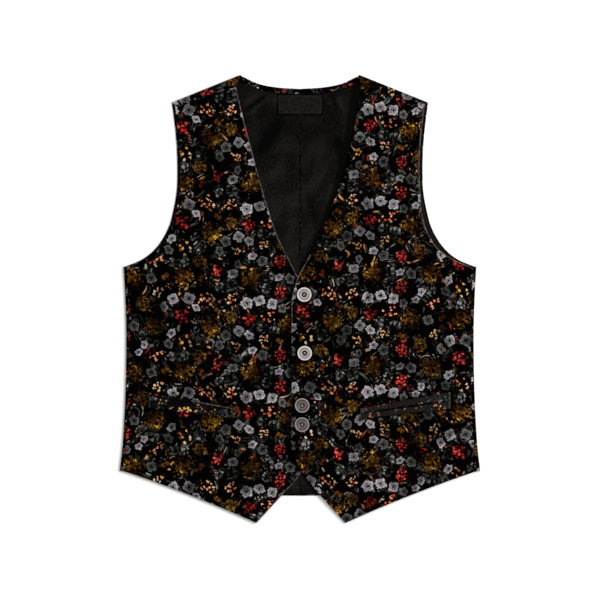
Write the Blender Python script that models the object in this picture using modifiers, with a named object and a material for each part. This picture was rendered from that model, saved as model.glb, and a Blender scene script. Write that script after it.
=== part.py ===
"""A sleeveless waistcoat laid flat with its fronts up: printed fronts and back, a dark back lining with
its facings, a blank label, two pockets and four buttons.

Sizes are in millimetres. X runs across the garment with the wearer's left at +X, Y runs from the hem to
the neck with zero half way, and Z runs up from the surface that the garment lies on. A table for one
half gives it as on the wearer's left, and the right is mirrored."""

import math
from collections import namedtuple

import bmesh
import bpy
import numpy as np

MM = 0.001
SEAM_GAP = 0.3

# Walls, and the heights of the layers that lie on each other
BACK_WALL = 1.6
LINING_WALL = 1.0
FRONT_WALL = 2.4
WELT_WALL = 1.2
LABEL_WALL = 0.8
FOLD_RADIUS = 2.9
LINING_BASE = BACK_WALL + SEAM_GAP
LINING_TOP = LINING_BASE + LINING_WALL
FRONT_BASE = 2 * FOLD_RADIUS - FRONT_WALL
LOWEST_FRONT = LINING_TOP + SEAM_GAP
OVERLAP_RISE = FRONT_WALL + SEAM_GAP

# Soft height of the fronts over the back, reached this far in from their edges
FRONT_LOFT = 2.0
LOFT_REACH = 60.0
CREASE_REACH = 22.0
PLACKET_HALF = 15.0
PLACKET_REACH = 42.0

# Where the upper front comes down again beside the under front and above the foot of the V
RISE_ENDS_X = 62.0
RISE_REACH_X = 34.0
RISE_ENDS_Y = 78.0
RISE_REACH_Y = 32.0

Point = namedtuple("Point", "x y")

# The back's edge, run by run, from the centre of the neck round to the centre of the hem
NECK = (Point(0, 296.5), Point(37, 299.3), Point(58, 303.6), Point(81.5, 314.3))
SHOULDER_FOLD = (Point(81.5, 314.3), Point(180.6, 274.4))
ARMHOLE = (
    Point(180.6, 274.4),
    Point(177.4, 250.6),
    Point(174.3, 219.0),
    Point(173.1, 182.0),
    Point(174.1, 152.0),
    Point(178.7, 125.7),
    Point(184.8, 103.1),
    Point(195.7, 82.0),
    Point(207.0, 68.0),
    Point(221.0, 57.0),
    Point(246.1, 45.9),
)
SIDE_FOLD = (
    Point(246.1, 45.9),
    Point(243.9, 5.0),
    Point(242.4, -44.0),
    Point(242.5, -86.0),
    Point(243.5, -131.0),
    Point(245.2, -171.0),
    Point(248.1, -213.0),
    Point(251.6, -243.0),
)
HEM = (Point(251.6, -243.0), Point(130, -269.0), Point(60, -276.6), Point(0, -277.6))
CENTRE = (Point(0, -277.6), Point(0, 42.0), Point(0, 296.5))
RUN_NAMES = ("neck", "shoulder", "armhole", "side", "hem", "centre")
BACK_RUNS = dict(zip(RUN_NAMES, (NECK, SHOULDER_FOLD, ARMHOLE, SIDE_FOLD, HEM, CENTRE)))

# How far each inner piece stays inside the back's edge
Insets = namedtuple("Insets", RUN_NAMES, defaults=(0, 0, 0, 0, 0, SEAM_GAP / 2))
TURNED_EDGE = 1.2
FOLD_CLEAR = 1.5
NECK_FACING_WIDTH = 7.0
ARMHOLE_FACING_WIDTH = 9.0
BACK_INSETS = Insets()
LINING_INSETS = Insets(
    neck=NECK_FACING_WIDTH + SEAM_GAP,
    shoulder=FOLD_CLEAR,
    armhole=ARMHOLE_FACING_WIDTH + SEAM_GAP,
    side=FOLD_CLEAR,
    hem=TURNED_EDGE,
)
FACING_OUTER_INSETS = Insets(TURNED_EDGE, FOLD_CLEAR, TURNED_EDGE, FOLD_CLEAR)
FACING_INNER_INSETS = Insets(NECK_FACING_WIDTH, FOLD_CLEAR, ARMHOLE_FACING_WIDTH, FOLD_CLEAR)

# Sections of a front from the shoulder seam to the hem: the end on the V, front edge and lower diagonal,
# then the end on the armhole and side seam
Section = namedtuple("Section", "name inner_x inner_y outer_x outer_y")
FRONT_LEFT = (
    Section("shoulder seam", 86.8, 295.1, 176.4, 275.2),
    Section("collarbone", 80.6, 262.0, 172.8, 247.1),
    Section("upper chest", 73.4, 224.5, 169.6, 215.0),
    Section("armhole high", 64.6, 190.5, 168.4, 188.0),
    Section("chest", 54.9, 156.7, 169.8, 152.0),
    Section("armhole turn", 41.4, 122.0, 172.4, 120.0),
    Section("armhole low", 26.3, 84.7, 181.5, 91.5),
    Section("armhole foot", 13.8, 62.0, 196.5, 69.5),
    Section("under the arm", 5.2, 46.6, 219.0, 55.0),
    Section("underarm point", -2.8, 32.5, 244.4, 44.3),
    Section("first button", -10.8, 4.0, 242.2, 5.0),
    Section("midriff", -12.0, -35.0, 240.7, -44.0),
    Section("second button", -12.0, -84.0, 240.8, -86.0),
    Section("waist", -11.8, -130.0, 241.8, -131.0),
    Section("last button", -11.6, -172.0, 243.5, -171.0),
    Section("front edge foot", -11.3, -214.0, 245.9, -207.0),
    Section("notch", 4.2, -245.7, 247.2, -220.0),
    Section("diagonal", 29.7, -278.2, 248.5, -231.5),
    Section("hem", 64.0, -316.3, 249.8, -242.9),
)
FRONT_RIGHT = (
    Section("shoulder seam", 90.4, 299.3, 176.4, 273.4),
    Section("collarbone", 81.9, 263.2, 173.6, 247.0),
    Section("upper chest", 71.9, 224.5, 170.2, 216.0),
    Section("armhole high", 63.2, 190.5, 169.2, 188.0),
    Section("chest", 53.8, 156.7, 170.4, 152.0),
    Section("armhole turn", 43.4, 122.0, 175.6, 120.0),
    Section("armhole low", 31.0, 87.0, 184.9, 94.0),
    Section("armhole foot", 18.8, 62.5, 200.5, 70.0),
    Section("under the arm", 10.8, 46.4, 221.5, 55.0),
    Section("underarm point", 2.4, 29.5, 245.1, 44.9),
    Section("first button", -9.0, 4.0, 242.9, 5.0),
    Section("midriff", -12.0, -35.0, 241.4, -44.0),
    Section("second button", -12.0, -86.0, 241.5, -88.0),
    Section("waist", -12.0, -131.0, 242.5, -131.0),
    Section("last button", -12.0, -171.0, 244.2, -171.0),
    Section("front edge foot", -12.0, -214.0, 246.7, -207.0),
    Section("notch", -0.4, -247.1, 247.9, -220.0),
    Section("diagonal", 25.4, -276.8, 249.2, -231.5),
    Section("hem", 61.4, -316.3, 250.5, -242.4),
)
CORNER_SECTIONS = ("shoulder seam", "underarm point", "hem")
HEM_HOLLOW = 2.8

# Soft ridges and troughs in the fronts, from one end to the other. A trough's height is below zero
Crease = namedtuple("Crease", "x1 y1 x2 y2 half_width height")
CREASES = (
    Crease(205, 18, 196, -100, 9, -1.7),
    Crease(184, 62, 120, 8, 11, 1.3),
    Crease(146, 252, 128, 120, 13, 1.1),
    Crease(84, 216, 96, 60, 12, -1.1),
    Crease(92, -40, 178, -92, 12, 1.0),
    Crease(150, -178, 176, -246, 11, -1.4),
    Crease(70, -196, 96, -286, 12, 1.1),
    Crease(-196, 40, -206, -78, 11, -1.4),
    Crease(-186, 66, -104, 22, 10, 1.2),
    Crease(-140, 250, -118, 132, 12, -1.1),
    Crease(-74, 190, -104, 66, 12, 1.1),
    Crease(-70, -52, -160, -96, 12, 1.0),
    Crease(-128, -184, -158, -250, 12, 1.2),
    Crease(-76, -200, -80, -284, 11, -1.3),
)
CREASE_TAPER = 0.35

# Pulls in the lining below the back neck
NECK_PULLS = (
    Crease(-62, 289, -76, 244, 5, 1.2),
    Crease(-44, 285, -58, 222, 6, 1.0),
    Crease(42, 284, 60, 232, 6, 1.1),
    Crease(60, 288, 70, 250, 5, 0.9),
)
LINING_SHOWS = 12.0

# Pockets: both ends of the top line, the mouth and the bottom line, and how far the mouth gapes
Pocket = namedtuple(
    "Pocket",
    "inner_x inner_top inner_mouth inner_foot outer_x outer_top outer_mouth outer_foot gape",
)
POCKETS = {
    "left": Pocket(86.1, -154.3, -161.7, -169.4, 211.8, -131.3, -143.3, -154.6, 2.4),
    "right": Pocket(95.3, -153.9, -156.9, -167.6, 212.5, -132.0, -137.0, -153.6, 0.6),
}
WELT_STEPS = 10

LABEL_LEFT, LABEL_RIGHT = -30.2, 30.5
LABEL_TOP, LABEL_FOOT = 287.4, 262.0
LABEL_LIFT = 0.9
LABEL_STEPS = 4

# Buttons: the turned half section, from the centre of the face round to the centre of the back
BUTTON_PLACES = (Point(5.9, 6.2), Point(6.6, -76.5), Point(3.0, -150.4), Point(2.8, -177.5))
PEARL_BUTTONS = 2
RingPoint = namedtuple("RingPoint", "radius height")
BUTTON_SECTION = (
    RingPoint(0.0, 1.7),
    RingPoint(4.4, 1.7),
    RingPoint(5.6, 2.4),
    RingPoint(7.2, 2.2),
    RingPoint(9.0, 3.0),
    RingPoint(10.2, 2.2),
    RingPoint(9.6, 0.7),
    RingPoint(6.5, 0.0),
    RingPoint(0.0, 0.0),
)
BUTTON_STEPS = 24
AXIS_MERGE = 0.01
HOLE_RADIUS = 1.05
HOLE_OFFSET = 1.55
HOLE_SIDES = 8
HOLE_PIN = 12.0

# How finely the solids are divided
FRONT_COLUMNS = 15
SPAN_LENGTH = 19.0
LOOP_POINTS = 400
RUN_STEPS = {"neck": 2, "shoulder": 6, "armhole": 2, "side": 2, "hem": 4}
FOLD_STEPS = 4
SHOULDER_TOP_STEPS = 2
SIDE_TOP_STEPS = 1
ALIKE = 1e-3
SHARP_ANGLE = math.radians(40)

# Each finish: colour, roughness
FINISHES = {
    "printed_cloth": ((0.055, 0.042, 0.038), 0.88),
    "lining_cloth": ((0.014, 0.013, 0.013), 0.62),
    "label_cloth": ((0.020, 0.019, 0.021), 0.70),
    "pearl_button": ((0.66, 0.64, 0.66), 0.28),
    "grey_button": ((0.33, 0.31, 0.30), 0.34),
}


def clear_scene():
    for old in list(bpy.data.objects):
        bpy.data.objects.remove(old, do_unlink=True)


def make_materials():
    made = {}
    for name, (colour, roughness) in FINISHES.items():
        material = bpy.data.materials.new(name)
        material.use_nodes = True
        shader = material.node_tree.nodes["Principled BSDF"]
        shader.inputs["Base Color"].default_value = (*colour, 1.0)
        shader.inputs["Roughness"].default_value = roughness
        made[name] = material
    return made


def smooth_step(value):
    """0 below zero, 1 above one, and an even S between them."""
    held = np.clip(value, 0.0, 1.0)
    return held * held * (3 - 2 * held)


def smooth_curve(points, corners, steps):
    """Points along a cubic curve through the given ones, with a break at each corner. Steps has each
    span's number of pieces."""
    points = np.array(points, float)
    spans = np.diff(points, axis=0)
    lengths = np.linalg.norm(spans, axis=1)
    slopes = spans / lengths[:, None]
    made = [points[0]]
    for i, length in enumerate(lengths):
        leave, arrive = slopes[i], slopes[i]
        if i > 0 and i not in corners:
            weight = lengths[i - 1] / (lengths[i - 1] + length)
            leave = slopes[i - 1] * (1 - weight) + slopes[i] * weight
        if i + 1 < len(lengths) and i + 1 not in corners:
            weight = length / (length + lengths[i + 1])
            arrive = slopes[i] * (1 - weight) + slopes[i + 1] * weight
        for t in np.linspace(0, 1, steps[i] + 1)[1:]:
            made.append(
                (1 + 2 * t) * (1 - t) ** 2 * points[i]
                + t * (1 - t) ** 2 * length * leave
                + t * t * (3 - 2 * t) * points[i + 1]
                - t * t * (1 - t) * length * arrive
            )
    return np.array(made)


def resample(points, count):
    """The same curve with count points, evenly spaced along it."""
    lengths = np.linalg.norm(np.diff(points, axis=0), axis=1)
    along = np.concatenate([[0], np.cumsum(lengths)])
    wanted = np.linspace(0, along[-1], count)
    return np.stack([np.interp(wanted, along, points[:, axis]) for axis in (0, 1)], axis=1)


def grid_between(top, bottom, inner, outer):
    """A grid of points that fills four edges: top and bottom run outward, inner and outer run down."""
    across = np.linspace(0, 1, len(top))[None, :, None]
    down = np.linspace(0, 1, len(inner))[:, None, None]
    from_sides = (1 - across) * inner[:, None] + across * outer[:, None]
    from_ends = (1 - down) * top[None] + down * bottom[None]
    top_corners = (1 - across) * top[0] + across * top[-1]
    bottom_corners = (1 - across) * bottom[0] + across * bottom[-1]
    return from_sides + from_ends - (1 - down) * top_corners - down * bottom_corners


def line_crossing(a, a_way, b, b_way):
    """Where the line through a meets the line through b, or None where they run alike."""
    turn = a_way[0] * b_way[1] - a_way[1] * b_way[0]
    if abs(turn) < ALIKE:
        return None
    gap = b - a
    return a + a_way * (gap[0] * b_way[1] - gap[1] * b_way[0]) / turn


def inset_runs(insets):
    """The back's runs of points, each moved into the cloth by its own inset."""
    loop, widths = [], []
    for name in RUN_NAMES:
        run = BACK_RUNS[name]
        loop += run[:-1]
        widths += [getattr(insets, name)] * (len(run) - 1)
    loop, widths = np.array(loop, float), np.array(widths)
    ways = np.roll(loop, -1, axis=0) - loop
    ways /= np.linalg.norm(ways, axis=1)[:, None]
    inward = np.c_[ways[:, 1], -ways[:, 0]]
    moved = []
    for i, point in enumerate(loop):
        before = point + inward[i - 1] * widths[i - 1]
        after = point + inward[i] * widths[i]
        crossing = line_crossing(before, ways[i - 1], after, ways[i])
        moved.append(after if crossing is None else crossing)
    runs, first = {}, 0
    for name in RUN_NAMES:
        last = first + len(BACK_RUNS[name]) - 1
        runs[name] = [moved[i % len(moved)] for i in range(first, last + 1)]
        first = last
    return runs


def run_curve(runs, name):
    spans = len(runs[name]) - 1
    return smooth_curve(runs[name], (), [RUN_STEPS[name]] * spans)


class BackHalf:
    """The flat part of one half of the back, inside the given insets, as a grid for the wearer's left."""

    def __init__(self, insets):
        runs = inset_runs(insets)
        neck, shoulder = run_curve(runs, "neck"), run_curve(runs, "shoulder")
        armhole, side = run_curve(runs, "armhole"), run_curve(runs, "side")
        self.neck_columns = len(neck) - 1
        self.armhole_rows = len(armhole) - 1
        top = np.concatenate([neck, shoulder[1:]])
        outer = np.concatenate([armhole, side[1:]])
        hem = resample(run_curve(runs, "hem")[::-1], len(top))
        foot, level_with_underarm, centre_neck = runs["centre"]
        upper = np.linspace(centre_neck, level_with_underarm, len(armhole))
        lower = np.linspace(level_with_underarm, foot, len(side))
        inner = np.concatenate([upper, lower[1:]])
        self.neck, self.armhole = neck, armhole
        self.grid = grid_between(top, hem, inner, outer)


class Front:
    """One front: its outline, and the height of its underside at any place."""

    def __init__(self, side, sections, laps_over):
        self.side = side
        self.laps_over = laps_over
        names = [row.name for row in sections]
        inner = np.array([(row.inner_x, row.inner_y) for row in sections])
        outer = np.array([(row.outer_x, row.outer_y) for row in sections])
        spans = [
            max(math.dist(inner[i], inner[i + 1]), math.dist(outer[i], outer[i + 1]))
            for i in range(len(sections) - 1)
        ]
        steps = [max(1, round(span / SPAN_LENGTH)) for span in spans]
        corners = {names.index(name) for name in CORNER_SECTIONS}
        self.inner = smooth_curve(inner, corners, steps)
        self.outer = smooth_curve(outer, corners, steps)
        self.side_seam = self.outer[sum(steps[: names.index("underarm point")]) :]
        across = np.linspace(0, 1, FRONT_COLUMNS + 1)[:, None]
        self.seam = self.inner[0] * (1 - across) + self.outer[0] * across
        self.hem = self.inner[-1] * (1 - across) + self.outer[-1] * across
        self.hem[:, 1:] += HEM_HOLLOW * 4 * across * (1 - across)
        self.grid = grid_between(self.seam, self.hem, self.inner, self.outer) * (side, 1)
        loop = np.concatenate([self.seam, self.outer, self.hem[::-1], self.inner[::-1]])
        self.loop = resample(loop, LOOP_POINTS) * (side, 1)

    def underside(self, places):
        """Heights at these places: the base, soft loft and creases, and the rise over the other front."""
        x, y = places[..., 0], places[..., 1]
        inside = edge_distance(places, self.loop)
        off_placket = smooth_step((abs(x) - PLACKET_HALF) / PLACKET_REACH)
        loft = FRONT_LOFT * smooth_step(inside / LOFT_REACH)
        folds = crease_heights(places, CREASES) * smooth_step(inside / CREASE_REACH)
        height = np.maximum(FRONT_BASE + (loft + folds) * off_placket, LOWEST_FRONT)
        if self.laps_over:
            beside = smooth_step((RISE_ENDS_X - x) / RISE_REACH_X)
            below = smooth_step((RISE_ENDS_Y - y) / RISE_REACH_Y)
            height = height + OVERLAP_RISE * beside * below
        return height


def edge_distance(places, loop):
    flat = places.reshape(-1, 1, 2)
    return np.linalg.norm(flat - loop[None], axis=2).min(axis=1).reshape(places.shape[:-1])


def crease_heights(places, creases):
    """The sum of the creases' heights, each a soft ridge or trough that fades at its ends."""
    total = np.zeros(places.shape[:-1])
    for crease in creases:
        start = np.array([crease.x1, crease.y1])
        way = np.array([crease.x2, crease.y2]) - start
        length = np.linalg.norm(way)
        along = (places - start) @ way / length**2
        off = (places - start) @ np.array([-way[1], way[0]]) / length
        fade = smooth_step(along / CREASE_TAPER) * smooth_step((1 - along) / CREASE_TAPER)
        total += crease.height * fade * np.exp(-((off / crease.half_width) ** 2))
    return total


def at_height(places, heights):
    """Places with heights added, where heights is an array or one number."""
    return np.concatenate([places, np.broadcast_to(heights, places.shape[:-1])[..., None]], axis=2)


def wall_over(places, underside, thickness):
    """The one patch of a wall whose underside lies at these heights."""
    return [(at_height(places, underside), at_height(places, underside + thickness))]


def folded(fold_points, fold_ends, outward, top_steps):
    """A patch of the back's cloth that goes round from its fold points and in over the top to its ends.

    The outward directions are square to the fold. Rows run from the fold to the ends."""
    middle = FOLD_RADIUS - BACK_WALL / 2
    arc = math.pi * middle
    across = ((fold_ends - fold_points) * outward).sum(axis=1)
    slide = fold_ends - fold_points - across[:, None] * outward
    whole = arc - across
    beyond = [np.full(len(whole), arc * k / FOLD_STEPS) for k in range(FOLD_STEPS + 1)]
    beyond += [arc + (whole - arc) * k / top_steps for k in range(1, top_steps + 1)]
    faces = []
    for radius in (FOLD_RADIUS, FOLD_RADIUS - BACK_WALL):
        rows = []
        for reached in beyond:
            angle = np.minimum(reached / middle, math.pi)
            out = radius * np.sin(angle) - np.maximum(reached - arc, 0)
            place = fold_points + outward * out[:, None] + slide * (reached / whole)[:, None]
            rows.append(np.c_[place, FOLD_RADIUS - radius * np.cos(angle)])
        faces.append(np.array(rows))
    return faces


def back_patches(half, front):
    """The back's cloth: flat, then turned over the shoulder and round the side to the front's seams."""
    flat = half.grid
    lower, upper = at_height(flat, 0.0), at_height(flat, BACK_WALL)
    shoulder_fold = flat[0, half.neck_columns :]
    along = shoulder_fold[-1] - shoulder_fold[0]
    outward = np.array([-along[1], along[0]]) / np.linalg.norm(along)
    seam = resample(front.seam, len(shoulder_fold)) + outward * SEAM_GAP
    shoulder = folded(shoulder_fold, seam, np.tile(outward, (len(seam), 1)), SHOULDER_TOP_STEPS)
    shoulder[0][0], shoulder[1][0] = lower[0, half.neck_columns :], upper[0, half.neck_columns :]
    side_fold = flat[half.armhole_rows :, -1]
    front_edge = np.interp(side_fold[:, 1], front.side_seam[::-1, 1], front.side_seam[::-1, 0])
    side_seam = np.c_[front_edge + SEAM_GAP, side_fold[:, 1]]
    side = folded(side_fold, side_seam, np.tile((1.0, 0.0), (len(side_seam), 1)), SIDE_TOP_STEPS)
    side[0][0], side[1][0] = lower[half.armhole_rows :, -1], upper[half.armhole_rows :, -1]
    mirror = (front.side, 1, 1)
    return [(a * mirror, b * mirror) for a, b in ((lower, upper), shoulder, side)]


def lining_patch(half, front):
    """One half of the back lining, with the pulls below the neck where the V shows it."""
    places = half.grid * (front.side, 1)
    v_edge = np.interp(places[..., 1], front.inner[::-1, 1], front.inner[::-1, 0])
    shows = smooth_step((v_edge - abs(places[..., 0])) / LINING_SHOWS)
    inside = edge_distance(places, half.neck * (front.side, 1))
    pulls = crease_heights(places, NECK_PULLS) * shows * smooth_step(inside / LINING_SHOWS)
    return wall_over(places, LINING_BASE + pulls, LINING_WALL)


def strip_between(edge, other_edge):
    """A grid three points wide between two edges of the same number of points."""
    return np.stack([edge, (edge + other_edge) / 2, other_edge], axis=1)


def neck_facing_patch(outer_half, inner_half):
    """The facing round the whole back neck, cut on the fold."""
    strip = strip_between(outer_half.neck, inner_half.neck)
    strip[0, :, 0] = 0.0
    mirrored = strip[:0:-1] * (-1, 1)
    return wall_over(np.concatenate([mirrored, strip]), LINING_BASE, LINING_WALL)


def armhole_facing_patch(outer_half, inner_half, side):
    strip = strip_between(outer_half.armhole, inner_half.armhole) * (side, 1)
    return wall_over(strip, LINING_BASE, LINING_WALL)


def welt_patches(pocket, front):
    """The upper and the lower welt, which lie on the front's own surface with the mouth between them."""
    across = np.linspace(0, 1, WELT_STEPS + 1)[:, None]
    mouth_gap = SEAM_GAP / 2 + pocket.gape * 2 * across * (1 - across)

    def line(inner_y, outer_y):
        ends = np.array([[pocket.inner_x, inner_y], [pocket.outer_x, outer_y]])
        return ends[0] * (1 - across) + ends[1] * across

    mouth = line(pocket.inner_mouth, pocket.outer_mouth)
    top = line(pocket.inner_top, pocket.outer_top)
    foot = line(pocket.inner_foot, pocket.outer_foot)
    upward = np.concatenate([np.zeros_like(mouth_gap), mouth_gap], axis=1)
    made = []
    for edge, other_edge in ((top, mouth + upward), (mouth - upward, foot)):
        places = strip_between(edge, other_edge) * (front.side, 1)
        resting = front.underside(places) + FRONT_WALL + SEAM_GAP
        made.append(wall_over(places, resting, WELT_WALL))
    return made


def label_patch():
    x = np.linspace(LABEL_LEFT, LABEL_RIGHT, LABEL_STEPS + 1)
    y = np.linspace(LABEL_TOP, LABEL_FOOT, LABEL_STEPS + 1)
    places = np.stack(np.meshgrid(x, y), axis=2)
    down = (LABEL_TOP - places[..., 1]) / (LABEL_TOP - LABEL_FOOT)
    return wall_over(places, LINING_TOP + SEAM_GAP + LABEL_LIFT * down**3, LABEL_WALL)


def cloth_wall(name, patches, material):
    """One closed body from patches, each a pair of grids for the cloth's two faces, joined where equal."""
    index, one_face, other_face, quads = {}, [], [], []
    for face, back in patches:
        rows, columns = face.shape[:2]
        numbers = np.empty((rows, columns), int)
        for r in range(rows):
            for c in range(columns):
                key = tuple(face[r, c])
                if key not in index:
                    index[key] = len(one_face)
                    one_face.append(key)
                    other_face.append(tuple(back[r, c]))
                numbers[r, c] = index[key]
        for r in range(rows - 1):
            for c in range(columns - 1):
                quads.append((numbers[r, c], numbers[r + 1, c], numbers[r + 1, c + 1], numbers[r, c + 1]))
    sides = {}
    for quad in quads:
        for a, b in zip(quad, quad[1:] + quad[:1]):
            sides.setdefault(frozenset((a, b)), []).append((a, b))
    count = len(one_face)
    faces = quads + [tuple(i + count for i in quad[::-1]) for quad in quads]
    faces += [(b, a, a + count, b + count) for (a, b), *more in sides.values() if not more]
    mesh = bpy.data.meshes.new(name)
    mesh.from_pydata([np.multiply(point, MM) for point in one_face + other_face], [], faces)
    shape = bmesh.new()
    shape.from_mesh(mesh)
    bmesh.ops.recalc_face_normals(shape, faces=shape.faces)
    shape.to_mesh(mesh)
    shape.free()
    mesh.materials.append(material)
    mesh.shade_smooth()
    mesh.set_sharp_from_angle(angle=SHARP_ANGLE)
    piece = bpy.data.objects.new(name, mesh)
    PARTS.objects.link(piece)
    return piece


def button_mesh(material):
    """The half section of a disc with a dished face and a rounded rim, which is then turned."""
    mesh = bpy.data.meshes.new("button_section")
    points = [(ring.radius * MM, 0.0, ring.height * MM) for ring in BUTTON_SECTION]
    mesh.from_pydata(points, [(i, i + 1) for i in range(len(points) - 1)], [])
    mesh.materials.append(material)
    return mesh


def hole_cutter():
    """Four round pins through the middle of a button."""
    shape = bmesh.new()
    for x in (-HOLE_OFFSET, HOLE_OFFSET):
        for y in (-HOLE_OFFSET, HOLE_OFFSET):
            made = bmesh.ops.create_cone(
                shape,
                cap_ends=True,
                segments=HOLE_SIDES,
                radius1=HOLE_RADIUS * MM,
                radius2=HOLE_RADIUS * MM,
                depth=HOLE_PIN * MM,
            )
            bmesh.ops.translate(shape, verts=made["verts"], vec=(x * MM, y * MM, 0.0))
    mesh = bpy.data.meshes.new("button_holes")
    shape.to_mesh(mesh)
    shape.free()
    return mesh


def add_button(name, place, height, material):
    button = bpy.data.objects.new(name, button_mesh(material))
    PARTS.objects.link(button)
    button.location = (place.x * MM, place.y * MM, height * MM)
    turn = button.modifiers.new("Turn", "SCREW")
    turn.steps = turn.render_steps = BUTTON_STEPS
    turn.use_merge_vertices = True
    turn.merge_threshold = AXIS_MERGE * MM
    cutter = bpy.data.objects.new(name + "_holes", hole_cutter())
    CUTTERS.objects.link(cutter)
    cutter.location = button.location
    cutter.hide_render = True
    cutter.display_type = "WIRE"
    holes = button.modifiers.new("Holes", "BOOLEAN")
    holes.operation = "DIFFERENCE"
    holes.object = cutter


def add_collection(name):
    made = bpy.data.collections.new(name)
    bpy.context.scene.collection.children.link(made)
    return made


clear_scene()
PARTS = add_collection("waistcoat")
CUTTERS = add_collection("cutters")
finish = make_materials()

fronts = {"left": Front(1, FRONT_LEFT, True), "right": Front(-1, FRONT_RIGHT, False)}
back_half = BackHalf(BACK_INSETS)
lining_half = BackHalf(LINING_INSETS)
facing_outer, facing_inner = BackHalf(FACING_OUTER_INSETS), BackHalf(FACING_INNER_INSETS)

for word, front in fronts.items():
    cloth_wall("back_" + word, back_patches(back_half, front), finish["printed_cloth"])
    cloth_wall("back_lining_" + word, lining_patch(lining_half, front), finish["lining_cloth"])
    facing = armhole_facing_patch(facing_outer, facing_inner, front.side)
    cloth_wall("back_armhole_facing_" + word, facing, finish["lining_cloth"])
    panel = wall_over(front.grid, front.underside(front.grid), FRONT_WALL)
    cloth_wall("front_" + word, panel, finish["printed_cloth"])
    for level, welt in zip(("upper", "lower"), welt_patches(POCKETS[word], front)):
        cloth_wall(f"pocket_{word}_{level}_welt", welt, finish["printed_cloth"])
cloth_wall("back_neck_facing", neck_facing_patch(facing_outer, facing_inner), finish["printed_cloth"])
cloth_wall("label", label_patch(), finish["label_cloth"])

for number, place in enumerate(BUTTON_PLACES, start=1):
    cloth_top = fronts["left"].underside(np.array([[place.x, place.y]]))[0] + FRONT_WALL
    kind = "pearl_button" if number <= PEARL_BUTTONS else "grey_button"
    add_button(f"button_{number}", place, cloth_top + SEAM_GAP, finish[kind])
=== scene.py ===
"""The looks of a printed waistcoat that lies flat with its fronts up: cloth shells on the forms of the
model's walls, a floral print laid out by rule, a dark lining, turned buttons and the sewing.

Sizes are in millimetres until a mesh is made. X runs across with the wearer's left at +X, Y runs from the
hem to the neck with zero half way, and Z runs up from the floor."""

import math
import random
from collections import namedtuple

import bmesh
import bpy
import numpy as np
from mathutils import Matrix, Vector


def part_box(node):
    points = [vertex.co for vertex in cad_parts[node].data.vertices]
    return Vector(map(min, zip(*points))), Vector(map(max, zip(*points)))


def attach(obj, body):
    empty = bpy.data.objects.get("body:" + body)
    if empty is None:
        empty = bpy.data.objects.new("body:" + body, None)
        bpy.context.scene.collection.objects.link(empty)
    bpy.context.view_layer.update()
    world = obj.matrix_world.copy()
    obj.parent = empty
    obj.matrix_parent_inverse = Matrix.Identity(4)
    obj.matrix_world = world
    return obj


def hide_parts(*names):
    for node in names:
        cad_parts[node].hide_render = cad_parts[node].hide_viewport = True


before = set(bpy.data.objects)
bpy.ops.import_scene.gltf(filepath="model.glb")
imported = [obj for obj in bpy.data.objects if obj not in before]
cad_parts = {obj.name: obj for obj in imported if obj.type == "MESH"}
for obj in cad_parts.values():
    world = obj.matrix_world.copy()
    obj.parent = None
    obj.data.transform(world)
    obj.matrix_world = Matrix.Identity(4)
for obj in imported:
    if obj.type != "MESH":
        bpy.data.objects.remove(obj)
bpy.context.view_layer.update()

MM = 0.001
SEAM_GAP = 0.3

# Walls, and the heights of the layers that lie on each other
BACK_WALL = 1.6
LINING_WALL = 1.0
FRONT_WALL = 2.4
WELT_WALL = 1.2
LABEL_WALL = 0.8
FOLD_RADIUS = 2.9
LINING_BASE = BACK_WALL + SEAM_GAP
LINING_TOP = LINING_BASE + LINING_WALL
FRONT_BASE = 2 * FOLD_RADIUS - FRONT_WALL
LOWEST_FRONT = LINING_TOP + SEAM_GAP
OVERLAP_RISE = FRONT_WALL + SEAM_GAP

# Soft height of the fronts over the back, reached this far in from their edges
FRONT_LOFT = 2.0
LOFT_REACH = 60.0
CREASE_REACH = 22.0
PLACKET_HALF = 15.0
PLACKET_REACH = 42.0

# Where the upper front comes down again beside the under front and above the foot of the V
RISE_ENDS_X = 62.0
RISE_REACH_X = 34.0
RISE_ENDS_Y = 78.0
RISE_REACH_Y = 32.0

# The back's edge in plan, run by run from the centre of the neck round to the centre of the hem
NECK_CENTRE, NECK_POINT = (0, 296.5), (81.5, 314.3)
SHOULDER_POINT, UNDERARM_POINT = (180.6, 274.4), (246.1, 45.9)
HEM_CORNER, HEM_CENTRE = (251.6, -243.0), (0, -277.6)
ARMHOLE_UPPER = ((177.4, 250.6), (174.3, 219.0), (173.1, 182.0), (174.1, 152.0), (178.7, 125.7))
ARMHOLE_LOWER = ((184.8, 103.1), (195.7, 82.0), (207.0, 68.0), (221.0, 57.0))
SIDE_UPPER = ((243.9, 5.0), (242.4, -44.0), (242.5, -86.0))
SIDE_LOWER = ((243.5, -131.0), (245.2, -171.0), (248.1, -213.0))
BACK_RUNS = {
    "neck": (NECK_CENTRE, (37, 299.3), (58, 303.6), NECK_POINT),
    "shoulder": (NECK_POINT, SHOULDER_POINT),
    "armhole": (SHOULDER_POINT, *ARMHOLE_UPPER, *ARMHOLE_LOWER, UNDERARM_POINT),
    "side": (UNDERARM_POINT, *SIDE_UPPER, *SIDE_LOWER, HEM_CORNER),
    "hem": (HEM_CORNER, (130, -269.0), (60, -276.6), HEM_CENTRE),
    "centre": (HEM_CENTRE, (0, 42.0), NECK_CENTRE),
}

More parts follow.
